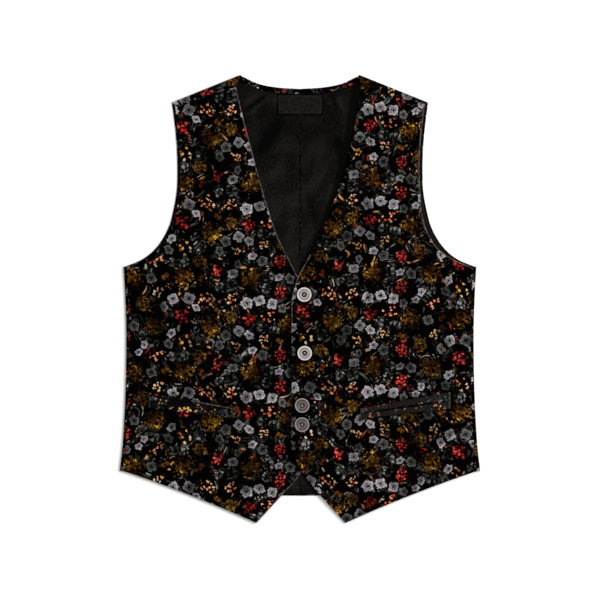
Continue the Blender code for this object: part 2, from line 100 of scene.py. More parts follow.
# How far each inner piece stays inside the back's edge
Insets = namedtuple("Insets", tuple(BACK_RUNS), defaults=(0, 0, 0, 0, 0, SEAM_GAP / 2))
TURNED_EDGE = 1.2
FOLD_CLEAR = 1.5
NECK_FACING_WIDTH = 7.0
ARMHOLE_FACING_WIDTH = 9.0
BACK_INSETS = Insets()
LINING_INSETS = Insets(
    neck=NECK_FACING_WIDTH + SEAM_GAP,
    shoulder=FOLD_CLEAR,
    armhole=ARMHOLE_FACING_WIDTH + SEAM_GAP,
    side=FOLD_CLEAR,
    hem=TURNED_EDGE,
)
FACING_OUTER_INSETS = Insets(TURNED_EDGE, FOLD_CLEAR, TURNED_EDGE, FOLD_CLEAR)
FACING_INNER_INSETS = Insets(NECK_FACING_WIDTH, FOLD_CLEAR, ARMHOLE_FACING_WIDTH, FOLD_CLEAR)

# Sections of both fronts from the shoulder seam to the hem: x and y of the end on the V, front edge and
# lower diagonal, then of the end on the armhole and side seam
SIDES = {"left": 1, "right": -1}
Section = namedtuple("Section", "name left right")
SECTIONS = (
    Section("shoulder seam", (86.8, 295.1, 176.4, 275.2), (90.4, 299.3, 176.4, 273.4)),
    Section("collarbone", (80.6, 262.0, 172.8, 247.1), (81.9, 263.2, 173.6, 247.0)),
    Section("upper chest", (73.4, 224.5, 169.6, 215.0), (71.9, 224.5, 170.2, 216.0)),
    Section("armhole high", (64.6, 190.5, 168.4, 188.0), (63.2, 190.5, 169.2, 188.0)),
    Section("chest", (54.9, 156.7, 169.8, 152.0), (53.8, 156.7, 170.4, 152.0)),
    Section("armhole turn", (41.4, 122.0, 172.4, 120.0), (43.4, 122.0, 175.6, 120.0)),
    Section("armhole low", (26.3, 84.7, 181.5, 91.5), (31.0, 87.0, 184.9, 94.0)),
    Section("armhole foot", (13.8, 62.0, 196.5, 69.5), (18.8, 62.5, 200.5, 70.0)),
    Section("under the arm", (5.2, 46.6, 219.0, 55.0), (10.8, 46.4, 221.5, 55.0)),
    Section("underarm point", (-2.8, 32.5, 244.4, 44.3), (2.4, 29.5, 245.1, 44.9)),
    Section("first button", (-10.8, 4.0, 242.2, 5.0), (-9.0, 4.0, 242.9, 5.0)),
    Section("midriff", (-12.0, -35.0, 240.7, -44.0), (-12.0, -35.0, 241.4, -44.0)),
    Section("second button", (-12.0, -84.0, 240.8, -86.0), (-12.0, -86.0, 241.5, -88.0)),
    Section("waist", (-11.8, -130.0, 241.8, -131.0), (-12.0, -131.0, 242.5, -131.0)),
    Section("last button", (-11.6, -172.0, 243.5, -171.0), (-12.0, -171.0, 244.2, -171.0)),
    Section("front edge foot", (-11.3, -214.0, 245.9, -207.0), (-12.0, -214.0, 246.7, -207.0)),
    Section("notch", (4.2, -245.7, 247.2, -220.0), (-0.4, -247.1, 247.9, -220.0)),
    Section("diagonal", (29.7, -278.2, 248.5, -231.5), (25.4, -276.8, 249.2, -231.5)),
    Section("hem", (64.0, -316.3, 249.8, -242.9), (61.4, -316.3, 250.5, -242.4)),
)
CORNER_SECTIONS = ("shoulder seam", "underarm point", "hem")
HEM_HOLLOW = 2.8

# Soft ridges and troughs in the fronts: both ends, half width, and height, which is below zero in a trough
CREASES = (
    (205, 18, 196, -100, 9, -1.7), (184, 62, 120, 8, 11, 1.3),
    (146, 252, 128, 120, 13, 1.1), (84, 216, 96, 60, 12, -1.1),
    (92, -40, 178, -92, 12, 1.0), (150, -178, 176, -246, 11, -1.4),
    (70, -196, 96, -286, 12, 1.1), (-196, 40, -206, -78, 11, -1.4),
    (-186, 66, -104, 22, 10, 1.2), (-140, 250, -118, 132, 12, -1.1),
    (-74, 190, -104, 66, 12, 1.1), (-70, -52, -160, -96, 12, 1.0),
    (-128, -184, -158, -250, 12, 1.2), (-76, -200, -80, -284, 11, -1.3),
)
CREASE_TAPER = 0.35
CREST_HEIGHT = 1.3
SMALL_CREST = 0.9

# Smaller creases that only the cloth shells have
SMALL_CREASES = (
    (160, 236, 112, 208, 5, 0.5), (158, 150, 104, 128, 5, -0.5),
    (168, 96, 118, 66, 5, 0.6), (226, 30, 160, -14, 5, 0.6),
    (232, -60, 176, -72, 5, -0.5), (66, 26, 118, 40, 6, 0.5),
    (58, -18, 112, -8, 5, -0.4), (60, -104, 104, -118, 6, 0.5),
    (96, -178, 116, -226, 5, -0.6), (208, -176, 224, -226, 5, 0.5),
    (-166, 228, -110, 196, 5, 0.5), (-164, 132, -108, 118, 5, -0.4),
    (-178, 88, -124, 54, 5, 0.6), (-228, 20, -166, -8, 5, 0.5),
    (-230, -96, -172, -84, 5, -0.5), (-58, 8, -112, 24, 6, 0.5),
    (-62, -94, -110, -116, 5, -0.5), (-100, -182, -122, -238, 5, 0.6),
    (-206, -170, -222, -228, 5, -0.5),
)

# Waves of the whole cloth, which hardly show: direction in degrees, wavelength and height
Wave = namedtuple("Wave", "direction length height")
WAVES = (Wave(12, 137, 0.16), Wave(71, 96, 0.13), Wave(118, 64, 0.10), Wave(160, 171, 0.15))
PUCKERS = (Wave(31, 10.5, 0.13), Wave(124, 12.5, 0.13))
PUCKER_REACH = 7.0

# Pulls in the lining below the back neck, and its small creases
NECK_PULLS = (
    (-62, 289, -76, 244, 5, 1.2), (-44, 285, -58, 222, 6, 1.0),
    (42, 284, 60, 232, 6, 1.1), (60, 288, 70, 250, 5, 0.9),
)
SMALL_PULLS = (
    (-38, 289, -80, 254, 3, 0.8), (-56, 291, -84, 272, 2.5, 0.7),
    (-46, 289, -82, 262, 2.5, -0.6), (-32, 289, -37, 274, 2, 0.7),
    (33, 289, 46, 272, 2, 0.7), (44, 290, 53, 268, 2.5, -0.5),
    (51, 290, 66, 256, 3, 0.8), (-20, 262, -66, 196, 8, -0.6),
    (-22, 236, -52, 150, 9, 0.25), (14, 226, 40, 160, 9, 0.2),
    (50, 236, 62, 190, 6, -0.5), (8, 160, 26, 96, 6, -0.5),
    (-10, 150, -24, 88, 6, 0.2),
)
LINING_SHOWS = 12.0

# How far painted shade reaches on the cloth beside an edge above it
SHADED_LEAST, SHADED_MOST = 4.0, 16.0
SHADED_BY_FRONT = 6.5
SHADED_BY_LABEL = 1.8
SHADED_BY_WELT = 2.5
MOUTH_SHADE = 1.8
SHADED_BY_BUTTON = (12.0, 14.5)

# Painted shade makes the lining darker towards the neck: by how much, from which height, and over how far
NECK_SHADE, NECK_SHADE_FOOT, NECK_SHADE_REACH = 0.36, 110.0, 130.0

# Pockets: both ends across, the heights there of the top, mouth and foot, and how far the mouth gapes
Pocket = namedtuple("Pocket", "inner_x outer_x top mouth foot gape")
POCKETS = {
    "left": Pocket(86.1, 211.8, (-154.3, -131.3), (-161.7, -143.3), (-169.4, -154.6), 2.4),
    "right": Pocket(95.3, 212.5, (-153.9, -132.0), (-156.9, -137.0), (-167.6, -153.6), 0.6),
}
WELT_CROWN = 0.5
MOUTH_DEPTH = 1.5
MOUTH_HALF = 2.6

# The line of painted highlight and wear on each pocket, at the upper front's outer end and along the
# other's top, and how plain their cloth is
WELT_HIGHLIGHT_AND_WEAR = {"left": ((211.8, -131.3), (211.8, -154.6)), "right": ((-95.3, -153.9), (-152.0, -143.4))}
PLAIN_WELTS = {"left": 0.85, "right": 0.2}

LABEL_LEFT, LABEL_RIGHT = -30.2, 30.5
LABEL_TOP, LABEL_FOOT = 287.4, 262.0
LABEL_LIFT = 0.9

# Buttons: radius and height of the turned half section, from the centre of the face round to the back's
EYE_RADIUS, EYE_FLOOR = 4.3, 1.55
BUTTON_FACE = (
    (0.0, EYE_FLOOR), (3.4, 1.6), (EYE_RADIUS, 1.85), (4.9, 2.35), (5.6, 2.5), (6.2, 2.35), (6.7, 2.1),
    (7.3, 2.15), (8.0, 2.6), (8.8, 2.95), (9.5, 2.95), (10.0, 2.65), (10.2, 2.1),
)
BUTTON_BACK = ((10.1, 1.4), (9.5, 0.7), (8.4, 0.25), (6.5, 0.0), (0.0, 0.0))
BUTTON_NUMBERS = range(1, 5)
PEARL_BUTTONS = 2
BUTTON_STEPS = 96
BUTTON_SHARP = math.radians(40)
AXIS_MERGE = 0.01
HOLE_RADIUS = 1.3
HOLE_OFFSET = 1.5
HOLE_SIDES = 24
HOLE_DARK = 1.35
HOLE_PIN = 12.0

# The thread in a button rises in one hole, dips at its rim, bends in, arches over the eye and goes down
# the hole opposite. It is thicker in the middle, and the second strand lies on the first
THREAD_RADIUS = 0.24
THREAD_SWELL = 1.2
THREAD_FOOT = 0.2
THREAD_DIP = 0.1
THREAD_BEND = 0.75
THREAD_ARCH = 0.15
STRAND_LIFT = 1.3
THREAD_POINTS = 24
THREAD_ROUNDNESS = 3

# Buttonholes, which run from the button's stem away from the front edge
HOLE_START, HOLE_END = -2.0, 19.0
HOLE_ROW = 0.9
HOLE_STITCH_PITCH = 0.8
HOLE_POINTS = 40
BAR_POINTS = 8

# Stitches: how far apart, then length, width and height. Most are sunk a little in the cloth, and some
# lie all one way
Stitch = namedtuple("Stitch", "length width height")
SEWN_PITCH, SEWN_STITCH = 2.8, Stitch(2.1, 0.5, 0.4)
TACK_PITCH, TACK_STITCH = 0.7, Stitch(2.4, 0.5, 0.4)
HOLE_STITCH = Stitch(1.9, 0.6, 0.5)
SUNK = -0.05
ACROSS, ALONG = (1.0, 0.0, 0.0), (0.0, 1.0, 0.0)
LABEL_TACK_IN = 0.97
LABEL_TACK_WAY = (1.0, 0.6, 0.0)
GROOVED_COLUMNS = (2, 4)
GROOVE_DEPTH = 0.25

# A stitch is a grain with this many sides, and rings of this girth along it
GRAIN_SIDES = 6
GRAIN_RINGS = ((-0.5, 0.35), (-0.3, 0.85), (0.0, 1.0), (0.3, 0.85), (0.5, 0.35))

# Sewing above the hem
NOTCH_HALF = 62.0
NOTCH_POINTS = 60
HEM_ALLOWANCE = 10.0

# The faces of the cloth shells, and the roundness of their rims
FACE_LENGTH = 2.7
FRONT_COLUMNS = 88
BACK_FACE_LENGTH = 3.4
LOOP_POINTS = 500
HIGHLIGHT_AND_WEAR_POINTS = 900
FOLD_STEPS = 10
SHOULDER_TOP_STEPS = 9
SIDE_TOP_STEPS = 2
WELT_COLUMNS, WELT_ROWS = 56, 6
LABEL_COLUMNS, LABEL_ROWS = 40, 18
FACING_ROWS = 6
RIM_SEGMENTS = 3
RIM_ANGLE = math.radians(50)
RIM_SHARE = 0.42
ALIKE = 1e-3
MERGE_DIGITS = 4
RIM_CHUNK = 64

# Tones of the facings, kept with the painted light, and an edge so far away that a piece has no painted
# highlight and wear
BAND_CREST, NECK_CREST = 0.15, -0.3
FAR_AWAY = np.array([(1000.0, 1000.0)])

# The camera's square covers the same ground as the photograph's 600 pixels
PHOTO_SPAN = 847.2
PHOTO_CENTRE_Y = -1.4

# The stage in metres: the floor, the daylight, and square lights that all point at the middle
CAMERA_HEIGHT = 1.5
FLOOR_HALF = 12.0
FLOOR_DROP = 0.0004
DAYLIGHT = 0.58
Lamp = namedtuple("Lamp", "name place size power")
LAMPS = (Lamp("key", (1.0, 0.3, 1.8), 1.2, 38.0), Lamp("fill", (-1.2, 0.9, 1.6), 1.4, 4.0))

# The print's half-drop repeat, and the motifs in it: how many, their radius, how it varies, and whether
# every second one touches the one before it
REPEAT_WIDTH, REPEAT_HEIGHT = 220.0, 133.0
Motif = namedtuple("Motif", "kind count radius spread paired")
MOTIFS = (
    Motif("head", 5, 14.5, 0.14, False),
    Motif("berries", 5, 12.5, 0.14, False),
    Motif("spray", 8, 10.5, 0.16, False),
    Motif("sprig", 3, 12.0, 0.10, False),
    Motif("bloom", 23, 8.1, 0.22, True),
    Motif("bud", 4, 7.0, 0.12, False),
    Motif("leaves", 12, 8.5, 0.20, True),
)
TRIM_KINDS = ("berries", "spray", "leaves")
KINDS = [row.kind for row in MOTIFS]
TOUCHING = 0.97
SQUASH = 0.3
LAYOUT_SEED = 29
LAYOUT_TRIES = 500

# Pitches of the weaves, and the motifs that lie on the ground's marks instead of clearing them
WARP_PITCH, WEFT_PITCH = 0.9, 0.8
TWILL_PITCH, TWILL_SLOPE = 3.6, 0.8
LABEL_PITCH = 0.7
LYING_ON_MARKS = ("leaves",)
HALO_REACH, HALO_SHARE = 0.98, 0.85
STROKES_AROUND = 19

# Rings of colour on a button: radius from its axis, then the colour seen there, with painted shade in the eye
# and the groove
PEARL_RINGS = (
    (0.0, (10, 9, 9)),
    (3.4, (7, 6, 6)),
    (4.2, (142, 136, 132)),
    (4.6, (150, 144, 140)),
    (5.8, (152, 146, 142)),
    (6.6, (108, 102, 99)),
    (7.4, (110, 104, 101)),
    (8.4, (176, 170, 165)),
    (9.8, (208, 202, 196)),
)
GREY_RINGS = (
    (0.0, (12, 11, 10)),
    (3.1, (8, 7, 7)),
    (4.0, (74, 69, 65)),
    (5.6, (86, 80, 75)),
    (6.5, (48, 44, 42)),
    (7.8, (54, 50, 47)),
    (8.8, (108, 102, 98)),
    (9.8, (152, 146, 140)),
)


# Curves and grids


def smooth_step(value):
    """0 below zero, 1 above one, and an even S between them."""
    held = np.clip(value, 0.0, 1.0)
    return held * held * (3 - 2 * held)


def smooth_curve(points, corners, steps):
    """Points along a cubic curve through the given ones, with a break at each corner. Steps has each
    span's number of pieces."""
    points = np.array(points, float)
    spans = np.diff(points, axis=0)
    lengths = np.linalg.norm(spans, axis=1)
    slopes = spans / lengths[:, None]
    made = [points[0]]
    for i, length in enumerate(lengths):
        leave, arrive = slopes[i], slopes[i]
        if i > 0 and i not in corners:
            weight = lengths[i - 1] / (lengths[i - 1] + length)
            leave = slopes[i - 1] * (1 - weight) + slopes[i] * weight
        if i + 1 < len(lengths) and i + 1 not in corners:
            weight = length / (length + lengths[i + 1])
            arrive = slopes[i] * (1 - weight) + slopes[i + 1] * weight
        for t in np.linspace(0, 1, steps[i] + 1)[1:]:
            made.append(
                (1 + 2 * t) * (1 - t) ** 2 * points[i]
                + t * (1 - t) ** 2 * length * leave
                + t * t * (3 - 2 * t) * points[i + 1]
                - t * t * (1 - t) * length * arrive
            )
    return np.array(made)


def resample(points, count):
    """The same curve with count points, evenly spaced along it."""
    lengths = np.linalg.norm(np.diff(points, axis=0), axis=1)
    along = np.concatenate([[0], np.cumsum(lengths)])
    wanted = np.linspace(0, along[-1], count)
    return np.stack([np.interp(wanted, along, column) for column in points.T], axis=1)


def between(a, b, share):
    return a * (1 - share) + b * share


def grid_between(top, bottom, inner, outer):
    """A grid of points that fills four edges: top and bottom run outward, inner and outer run down."""
    across = np.linspace(0, 1, len(top))[None, :, None]
    down = np.linspace(0, 1, len(inner))[:, None, None]
    top_corners = between(top[0], top[-1], across)
    bottom_corners = between(bottom[0], bottom[-1], across)
    from_sides = between(inner[:, None], outer[:, None], across)
    from_ends = between(top[None], bottom[None], down)
    return from_sides + from_ends - between(top_corners, bottom_corners, down)


def strip_between(edge, other_edge, rows):
    """A grid between two edges of the same number of points."""
    return between(edge[:, None], other_edge[:, None], np.linspace(0, 1, rows + 1)[None, :, None])


def line_crossing(a, a_way, b, b_way):
    """Where the line through a meets the line through b, or None where they run alike."""
    turn = a_way[0] * b_way[1] - a_way[1] * b_way[0]
    if abs(turn) < ALIKE:
        return None
    gap = b - a
    return a + a_way * (gap[0] * b_way[1] - gap[1] * b_way[0]) / turn


def beside_line(places, start, end):
    """How far each place is along the line from start to end, how far off it, and the line's length."""
    way = np.subtract(end, start)
    length = np.linalg.norm(way)
    gaps = places - start
    return gaps @ way / length, gaps @ np.array([-way[1], way[0]]) / length, length


def edge_distance(places, loop):
    """How far each place lies from the nearest stretch of a closed loop of points."""
    flat = places.reshape(-1, 2)
    ways = np.roll(loop, -1, axis=0) - loop
    squares = np.maximum((ways**2).sum(axis=1), ALIKE**2)
    nearest = np.full(len(flat), np.inf)
    for start, way, square in zip(loop, ways, squares):
        along = np.clip(((flat - start) @ way) / square, 0, 1)
        off = flat - start - along[:, None] * way
        nearest = np.minimum(nearest, (off**2).sum(axis=1))
    return np.sqrt(nearest).reshape(places.shape[:-1])


def plateau(off, half_width):
    """1 near zero, falling to 0 past the half width."""
    return np.exp(-((off / half_width) ** 4))


def crease_heights(places, creases):
    """The sum of the creases' heights, each a soft ridge or trough that fades at its ends."""
    total = np.zeros(places.shape[:-1])
    for x1, y1, x2, y2, half_width, height in creases:
        along, off, length = beside_line(places, (x1, y1), (x2, y2))
        share = along / length
        fade = smooth_step(share / CREASE_TAPER) * smooth_step((1 - share) / CREASE_TAPER)
        total += height * fade * np.exp(-((off / half_width) ** 2))
    return total


def wave_heights(places, waves):
    total = np.zeros(places.shape[:-1])
    for wave in waves:
        direction = math.radians(wave.direction)
        along = places @ np.array([math.cos(direction), math.sin(direction)])
        total += wave.height * np.sin(2 * math.pi * along / wave.length)
    return total


# Outlines


def inset_runs(insets):
    """The back's runs of points, each moved into the cloth by its own inset."""
    loop, widths = [], []
    for name, run in BACK_RUNS.items():
        loop += run[:-1]
        widths += [getattr(insets, name)] * (len(run) - 1)
    loop, widths = np.array(loop, float), np.array(widths)
    ways = np.roll(loop, -1, axis=0) - loop
    ways /= np.linalg.norm(ways, axis=1)[:, None]
    inward = np.c_[ways[:, 1], -ways[:, 0]]
    moved = []
    for i, point in enumerate(loop):
        before = point + inward[i - 1] * widths[i - 1]
        after = point + inward[i] * widths[i]
        crossing = line_crossing(before, ways[i - 1], after, ways[i])
        moved.append(after if crossing is None else crossing)
    runs, first = {}, 0
    for name, run in BACK_RUNS.items():
        last = first + len(run) - 1
        runs[name] = [moved[i % len(moved)] for i in range(first, last + 1)]
        first = last
    return runs


def run_curve(runs, name):
    """A run's curve, with as many points whatever its inset."""
    run = BACK_RUNS[name]
    steps = [max(1, round(math.dist(a, b) / BACK_FACE_LENGTH)) for a, b in zip(run, run[1:])]
    return smooth_curve(runs[name], (), steps)


class BackHalf:
    """The flat part of one half of the back, inside the given insets, as a grid for the wearer's left."""

    def __init__(self, insets):
        runs = inset_runs(insets)
        neck, shoulder = run_curve(runs, "neck"), run_curve(runs, "shoulder")
        armhole, side = run_curve(runs, "armhole"), run_curve(runs, "side")
        self.neck_columns = len(neck) - 1
        self.armhole_rows = len(armhole) - 1
        top = np.concatenate([neck, shoulder[1:]])
        outer = np.concatenate([armhole, side[1:]])
        hem = resample(run_curve(runs, "hem")[::-1], len(top))
        foot, level_with_underarm, centre_neck = runs["centre"]
        upper = np.linspace(centre_neck, level_with_underarm, len(armhole))
        lower = np.linspace(level_with_underarm, foot, len(side))
        inner = np.concatenate([upper, lower[1:]])
        self.neck, self.armhole, self.hem = neck, armhole, hem
        self.grid = grid_between(top, hem, inner, outer)


def button_place(number):
    """The middle of a button's underside, in metres."""
    low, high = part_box(f"button_{number}")
    return Vector(((low.x + high.x) / 2, (low.y + high.y) / 2, low.z))


# Where each button's stem stands, in plan
STEMS = [np.array(button_place(number)[:2]) / MM for number in BUTTON_NUMBERS]


def front_edges(word):
    """A front's points on the V and front edge, and those on the armhole and side seam."""
    rows = np.array([getattr(row, word) for row in SECTIONS])
    return rows[:, :2], rows[:, 2:]


def shade_beside_front(places, width):
    """The upper front's painted shadow: 1 under its inner edge, falling to 0 this far outside it."""
    upward = front_edges("left")[0][::-1]
    edge = np.interp(places[..., 1], upward[:, 1], upward[:, 0])
    return 1 - smooth_step(2 * (edge - places[..., 0]) / width - 1)


class Front:
    """One front: its outline, and the heights of its underside and surface at any place."""

    def __init__(self, word):
        self.side = SIDES[word]
        self.laps_over = word == "left"
        self.pocket = POCKETS[word]
        inner, outer = front_edges(word)
        lengths = [np.linalg.norm(np.diff(edge, axis=0), axis=1) for edge in (inner, outer)]
        steps = [max(1, round(float(length / FACE_LENGTH))) for length in np.maximum(*lengths)]
        names = [row.name for row in SECTIONS]
        corners = {names.index(name) for name in CORNER_SECTIONS}
        self.inner = smooth_curve(inner, corners, steps)
        self.outer = smooth_curve(outer, corners, steps)
        starts = dict(zip(names, np.concatenate([[0], np.cumsum(steps)])))
        self.side_seam = self.outer[starts["underarm point"] :]
        across = np.linspace(0, 1, FRONT_COLUMNS + 1)[:, None]
        self.seam = between(self.inner[0], self.outer[0], across)
        self.hem = between(self.inner[-1], self.outer[-1], across)
        self.hem[:, 1:] += HEM_HOLLOW * 4 * across * (1 - across)
        # Painted highlight and wear run along the under front's inner edge, and on the upper front along the
        # foot of the V and its armhole
        highlight_and_wear = [self.inner]
        if self.laps_over:
            foot_of_v = self.inner[starts["armhole foot"] : starts["midriff"]]
            highlight_and_wear = [foot_of_v, self.outer[: starts["underarm point"]]]
        self.highlight_and_wear = np.concatenate([resample(edge, HIGHLIGHT_AND_WEAR_POINTS) for edge in highlight_and_wear]) * (self.side, 1)
        self.grid = grid_between(self.seam, self.hem, self.inner, self.outer) * (self.side, 1)
        loop = np.concatenate([self.seam, self.outer, self.hem[::-1], self.inner[::-1]])
        self.loop = resample(loop, LOOP_POINTS) * (self.side, 1)

    def underside(self, places):
        """Heights at these places: the base, soft loft and creases, and the rise over the other front."""
        x, y = places[..., 0], places[..., 1]
        inside = edge_distance(places, self.loop)
        off_placket = smooth_step((abs(x) - PLACKET_HALF) / PLACKET_REACH)
        loft = FRONT_LOFT * smooth_step(inside / LOFT_REACH)
        folds = crease_heights(places, CREASES + SMALL_CREASES) + wave_heights(places, WAVES)
        folds *= smooth_step(inside / CREASE_REACH)
        height = np.maximum(FRONT_BASE + (loft + folds) * off_placket, LOWEST_FRONT)
        if self.laps_over:
            beside = smooth_step((RISE_ENDS_X - x) / RISE_REACH_X)
            below = smooth_step((RISE_ENDS_Y - y) / RISE_REACH_Y)
            height = height + OVERLAP_RISE * beside * below
        return height

    def surface(self, places):
        """Heights of the outer face, with its puckered edges and the sunk mouth of the pocket."""
        inside = edge_distance(places, self.loop)
        puckers = wave_heights(places, PUCKERS) * np.exp(-inside / PUCKER_REACH)
        clear = smooth_step((abs(places[..., 0]) - PLACKET_HALF) / PLACKET_HALF)
        sunk = MOUTH_DEPTH * self.mouth_share(places)
        return self.underside(places) + FRONT_WALL + np.minimum(puckers, 0.0) * clear - sunk

    def painted_light(self, places):
        """Painted shade, from -1 in the deepest trough to 1 on the highest ridge, with the upper front's
        painted shadow.
        """
        faded = smooth_step(edge_distance(places, self.loop) / CREASE_REACH)
        painted_light = faded * crease_heights(places, CREASES + SMALL_CREASES) / CREST_HEIGHT
        if not self.laps_over:
            painted_light -= shade_beside_front(places, SHADED_BY_FRONT)
        return np.clip(painted_light, -1, 1)

    def pocket_line(self, heights):
        """Both ends of one of the pocket's lines, from its heights there."""
        xs = np.array([self.pocket.inner_x, self.pocket.outer_x]) * self.side
        return np.stack([xs, heights], axis=1)

    def mouth_share(self, places):
        """1 on the line of the pocket's mouth, falling to 0 beside it and past its ends."""
        along, off, length = beside_line(places, *self.pocket_line(self.pocket.mouth))
        ends = smooth_step(along / MOUTH_HALF) * smooth_step((length - along) / MOUTH_HALF)
        return ends * plateau(off, MOUTH_HALF + self.pocket.gape / 2)

    def painted_shade_share(self, places):
        """Painted shade: how dark the surface is in the mouth, along the welts' edges and close round the
        buttons.
        """
        top, foot = self.pocket_line(self.pocket.top), self.pocket_line(self.pocket.foot)
        dark = plateau(edge_distance(places, np.concatenate([top, foot[::-1]])), SHADED_BY_WELT)
        dark = np.clip(np.maximum(dark, MOUTH_SHADE * self.mouth_share(places)), 0, 1)
        if self.laps_over:
            least, most = SHADED_BY_BUTTON
            for stem in STEMS:
                off = np.linalg.norm(places - stem, axis=-1)
                dark = np.maximum(dark, 1 - smooth_step((off - least) / (most - least)))
        return dark


# The garment's panels
FRONTS = {word: Front(word) for word in SIDES}
BACK_HALF, LINING_HALF = BackHalf(BACK_INSETS), BackHalf(LINING_INSETS)
FACING_OUTER, FACING_INNER = BackHalf(FACING_OUTER_INSETS), BackHalf(FACING_INNER_INSETS)

# One stretch of a cloth wall: grids of the outer face, the inner face, and the places in the flat cloth
Patch = namedtuple("Patch", "outer inner cloth")


def at_height(places, heights):
    """Places with heights added, where heights is an array or one number."""
    return np.concatenate([places, np.broadcast_to(heights, places.shape[:-1])[..., None]], axis=2)


def wall_over(places, low, high):
    """A stretch of wall whose outer face is at the high height and whose inner face is at the low one."""
    return Patch(at_height(places, high), at_height(places, low), places)


def folded(fold_points, fold_ends, outward, top_steps):
    """The back's cloth where it goes round from its fold points and in over the top to its ends.

    The outward directions are square to the fold. Rows run from the fold to the ends."""
    middle = FOLD_RADIUS - BACK_WALL / 2
    arc = math.pi * middle
    across = ((fold_ends - fold_points) * outward).sum(axis=1)
    slide = fold_ends - fold_points - across[:, None] * outward
    whole = arc - across
    beyond = [np.full(len(whole), arc * k / FOLD_STEPS) for k in range(FOLD_STEPS + 1)]
    beyond += [arc + (whole - arc) * k / top_steps for k in range(1, top_steps + 1)]
    faces = []
    for radius in (FOLD_RADIUS, FOLD_RADIUS - BACK_WALL):
        rows = []
        for reached in beyond:
            angle = np.minimum(reached / middle, math.pi)
            out = radius * np.sin(angle) - np.maximum(reached - arc, 0)
            place = fold_points + outward * out[:, None] + slide * (reached / whole)[:, None]
            rows.append(np.c_[place, FOLD_RADIUS - radius * np.cos(angle)])
        faces.append(np.array(rows))
    cloth = [fold_points + (outward * whole[:, None] + slide) * (r / whole)[:, None] for r in beyond]
    return Patch(*faces, np.array(cloth))


def back_patches(half, front):
    """The back's cloth: flat, then turned over the shoulder and round the side to the front's seams."""
    flat = Patch(at_height(half.grid, 0.0), at_height(half.grid, BACK_WALL), half.grid)
    shoulder_fold = half.grid[0, half.neck_columns :]
    along = shoulder_fold[-1] - shoulder_fold[0]
    outward = np.array([-along[1], along[0]]) / np.linalg.norm(along)
    seam = resample(front.seam, len(shoulder_fold)) + outward * SEAM_GAP
    shoulder = folded(shoulder_fold, seam, np.tile(outward, (len(seam), 1)), SHOULDER_TOP_STEPS)
    side_fold = half.grid[half.armhole_rows :, -1]
    front_edge = np.interp(side_fold[:, 1], front.side_seam[::-1, 1], front.side_seam[::-1, 0])
    side_seam = np.c_[front_edge + SEAM_GAP, side_fold[:, 1]]
    side = folded(side_fold, side_seam, np.tile((1.0, 0.0), (len(side_seam), 1)), SIDE_TOP_STEPS)
    for face, shoulder_face, side_face in zip(flat[:2], shoulder[:2], side[:2]):
        shoulder_face[0] = face[0, half.neck_columns :]
        side_face[0] = face[half.armhole_rows :, -1]
    mirror = (front.side, 1, 1)
    return [Patch(p.outer * mirror, p.inner * mirror, p.cloth * mirror[:2]) for p in (flat, shoulder, side)]


def lining_painted_light(places, front):
    """The lining's pulls as painted light and shade, darker towards the neck, with painted shadow where the
    upper front and the label shade it.
    """
    painted_light = crease_heights(places, SMALL_PULLS) / SMALL_CREST
    painted_light -= NECK_SHADE * smooth_step((places[:, 1] - NECK_SHADE_FOOT) / NECK_SHADE_REACH)
    if front.laps_over:
        up = np.clip(places[:, 1] / NECK_POINT[1], 0, 1)
        painted_light -= shade_beside_front(places, between(SHADED_LEAST, SHADED_MOST, up))
    top = [(LABEL_LEFT, LABEL_TOP), (LABEL_RIGHT, LABEL_TOP)]
    foot = [(LABEL_RIGHT, LABEL_FOOT), (LABEL_LEFT, LABEL_FOOT)]
    painted_light -= plateau(edge_distance(places, np.array(top + foot)), SHADED_BY_LABEL)
    return np.clip(painted_light, -1, 1)


def lining_patch(half, front):
    """One half of the back lining, with the pulls below the neck where the V shows it."""
    places = half.grid * (front.side, 1)
    v_edge = np.interp(places[..., 1], front.inner[::-1, 1], front.inner[::-1, 0])
    shows = smooth_step((v_edge - abs(places[..., 0])) / LINING_SHOWS)
    neck = half.neck * (front.side, 1)
    inside = edge_distance(places, np.concatenate([neck, neck[::-1]]))
    off_seam = smooth_step(abs(places[..., 0]) / LINING_SHOWS)
    pulls = crease_heights(places, NECK_PULLS + SMALL_PULLS) * shows
    base = LINING_BASE + np.maximum(pulls * smooth_step(inside / LINING_SHOWS) * off_seam, 0.0)
    return wall_over(places, base, base + LINING_WALL)


def neck_facing_patch():
    """The facing round the whole back neck, cut on the fold."""
    strip = strip_between(FACING_OUTER.neck, FACING_INNER.neck, FACING_ROWS)
    strip[0, :, 0] = 0.0
    return wall_over(np.concatenate([strip[:0:-1] * (-1, 1), strip]), LINING_BASE, LINING_TOP)


def armhole_facing_patch(side):
    """The facing along one armhole, with two sewn grooves."""
    places = strip_between(FACING_OUTER.armhole, FACING_INNER.armhole, FACING_ROWS) * (side, 1)
    grooves = np.zeros(FACING_ROWS + 1)
    grooves[list(GROOVED_COLUMNS)] = GROOVE_DEPTH
    return wall_over(places, LINING_BASE, LINING_TOP - grooves)


def welt_patches(front):
    """The upper and the lower welt, which lie on the front's own surface with the mouth between them."""
    pocket = front.pocket
    across = np.linspace(0, 1, WELT_COLUMNS + 1)[:, None]
    lines = [front.pocket_line(heights) for heights in (pocket.top, pocket.mouth, pocket.foot)]
    top, mouth, foot = (between(*line, across) for line in lines)
    upward = (SEAM_GAP / 2 + pocket.gape * 2 * across * (1 - across)) * (0, 1)
    share = np.linspace(0, 1, WELT_ROWS + 1)[None, :]
    crown = WELT_CROWN * 4 * share * (1 - share)
    made = []
    for edge, other_edge in ((top, mouth + upward), (mouth - upward, foot)):
        places = strip_between(edge, other_edge, WELT_ROWS)
        resting = front.underside(places) + FRONT_WALL + SEAM_GAP
        made.append(wall_over(places, resting, resting + WELT_WALL + crown))
    return made


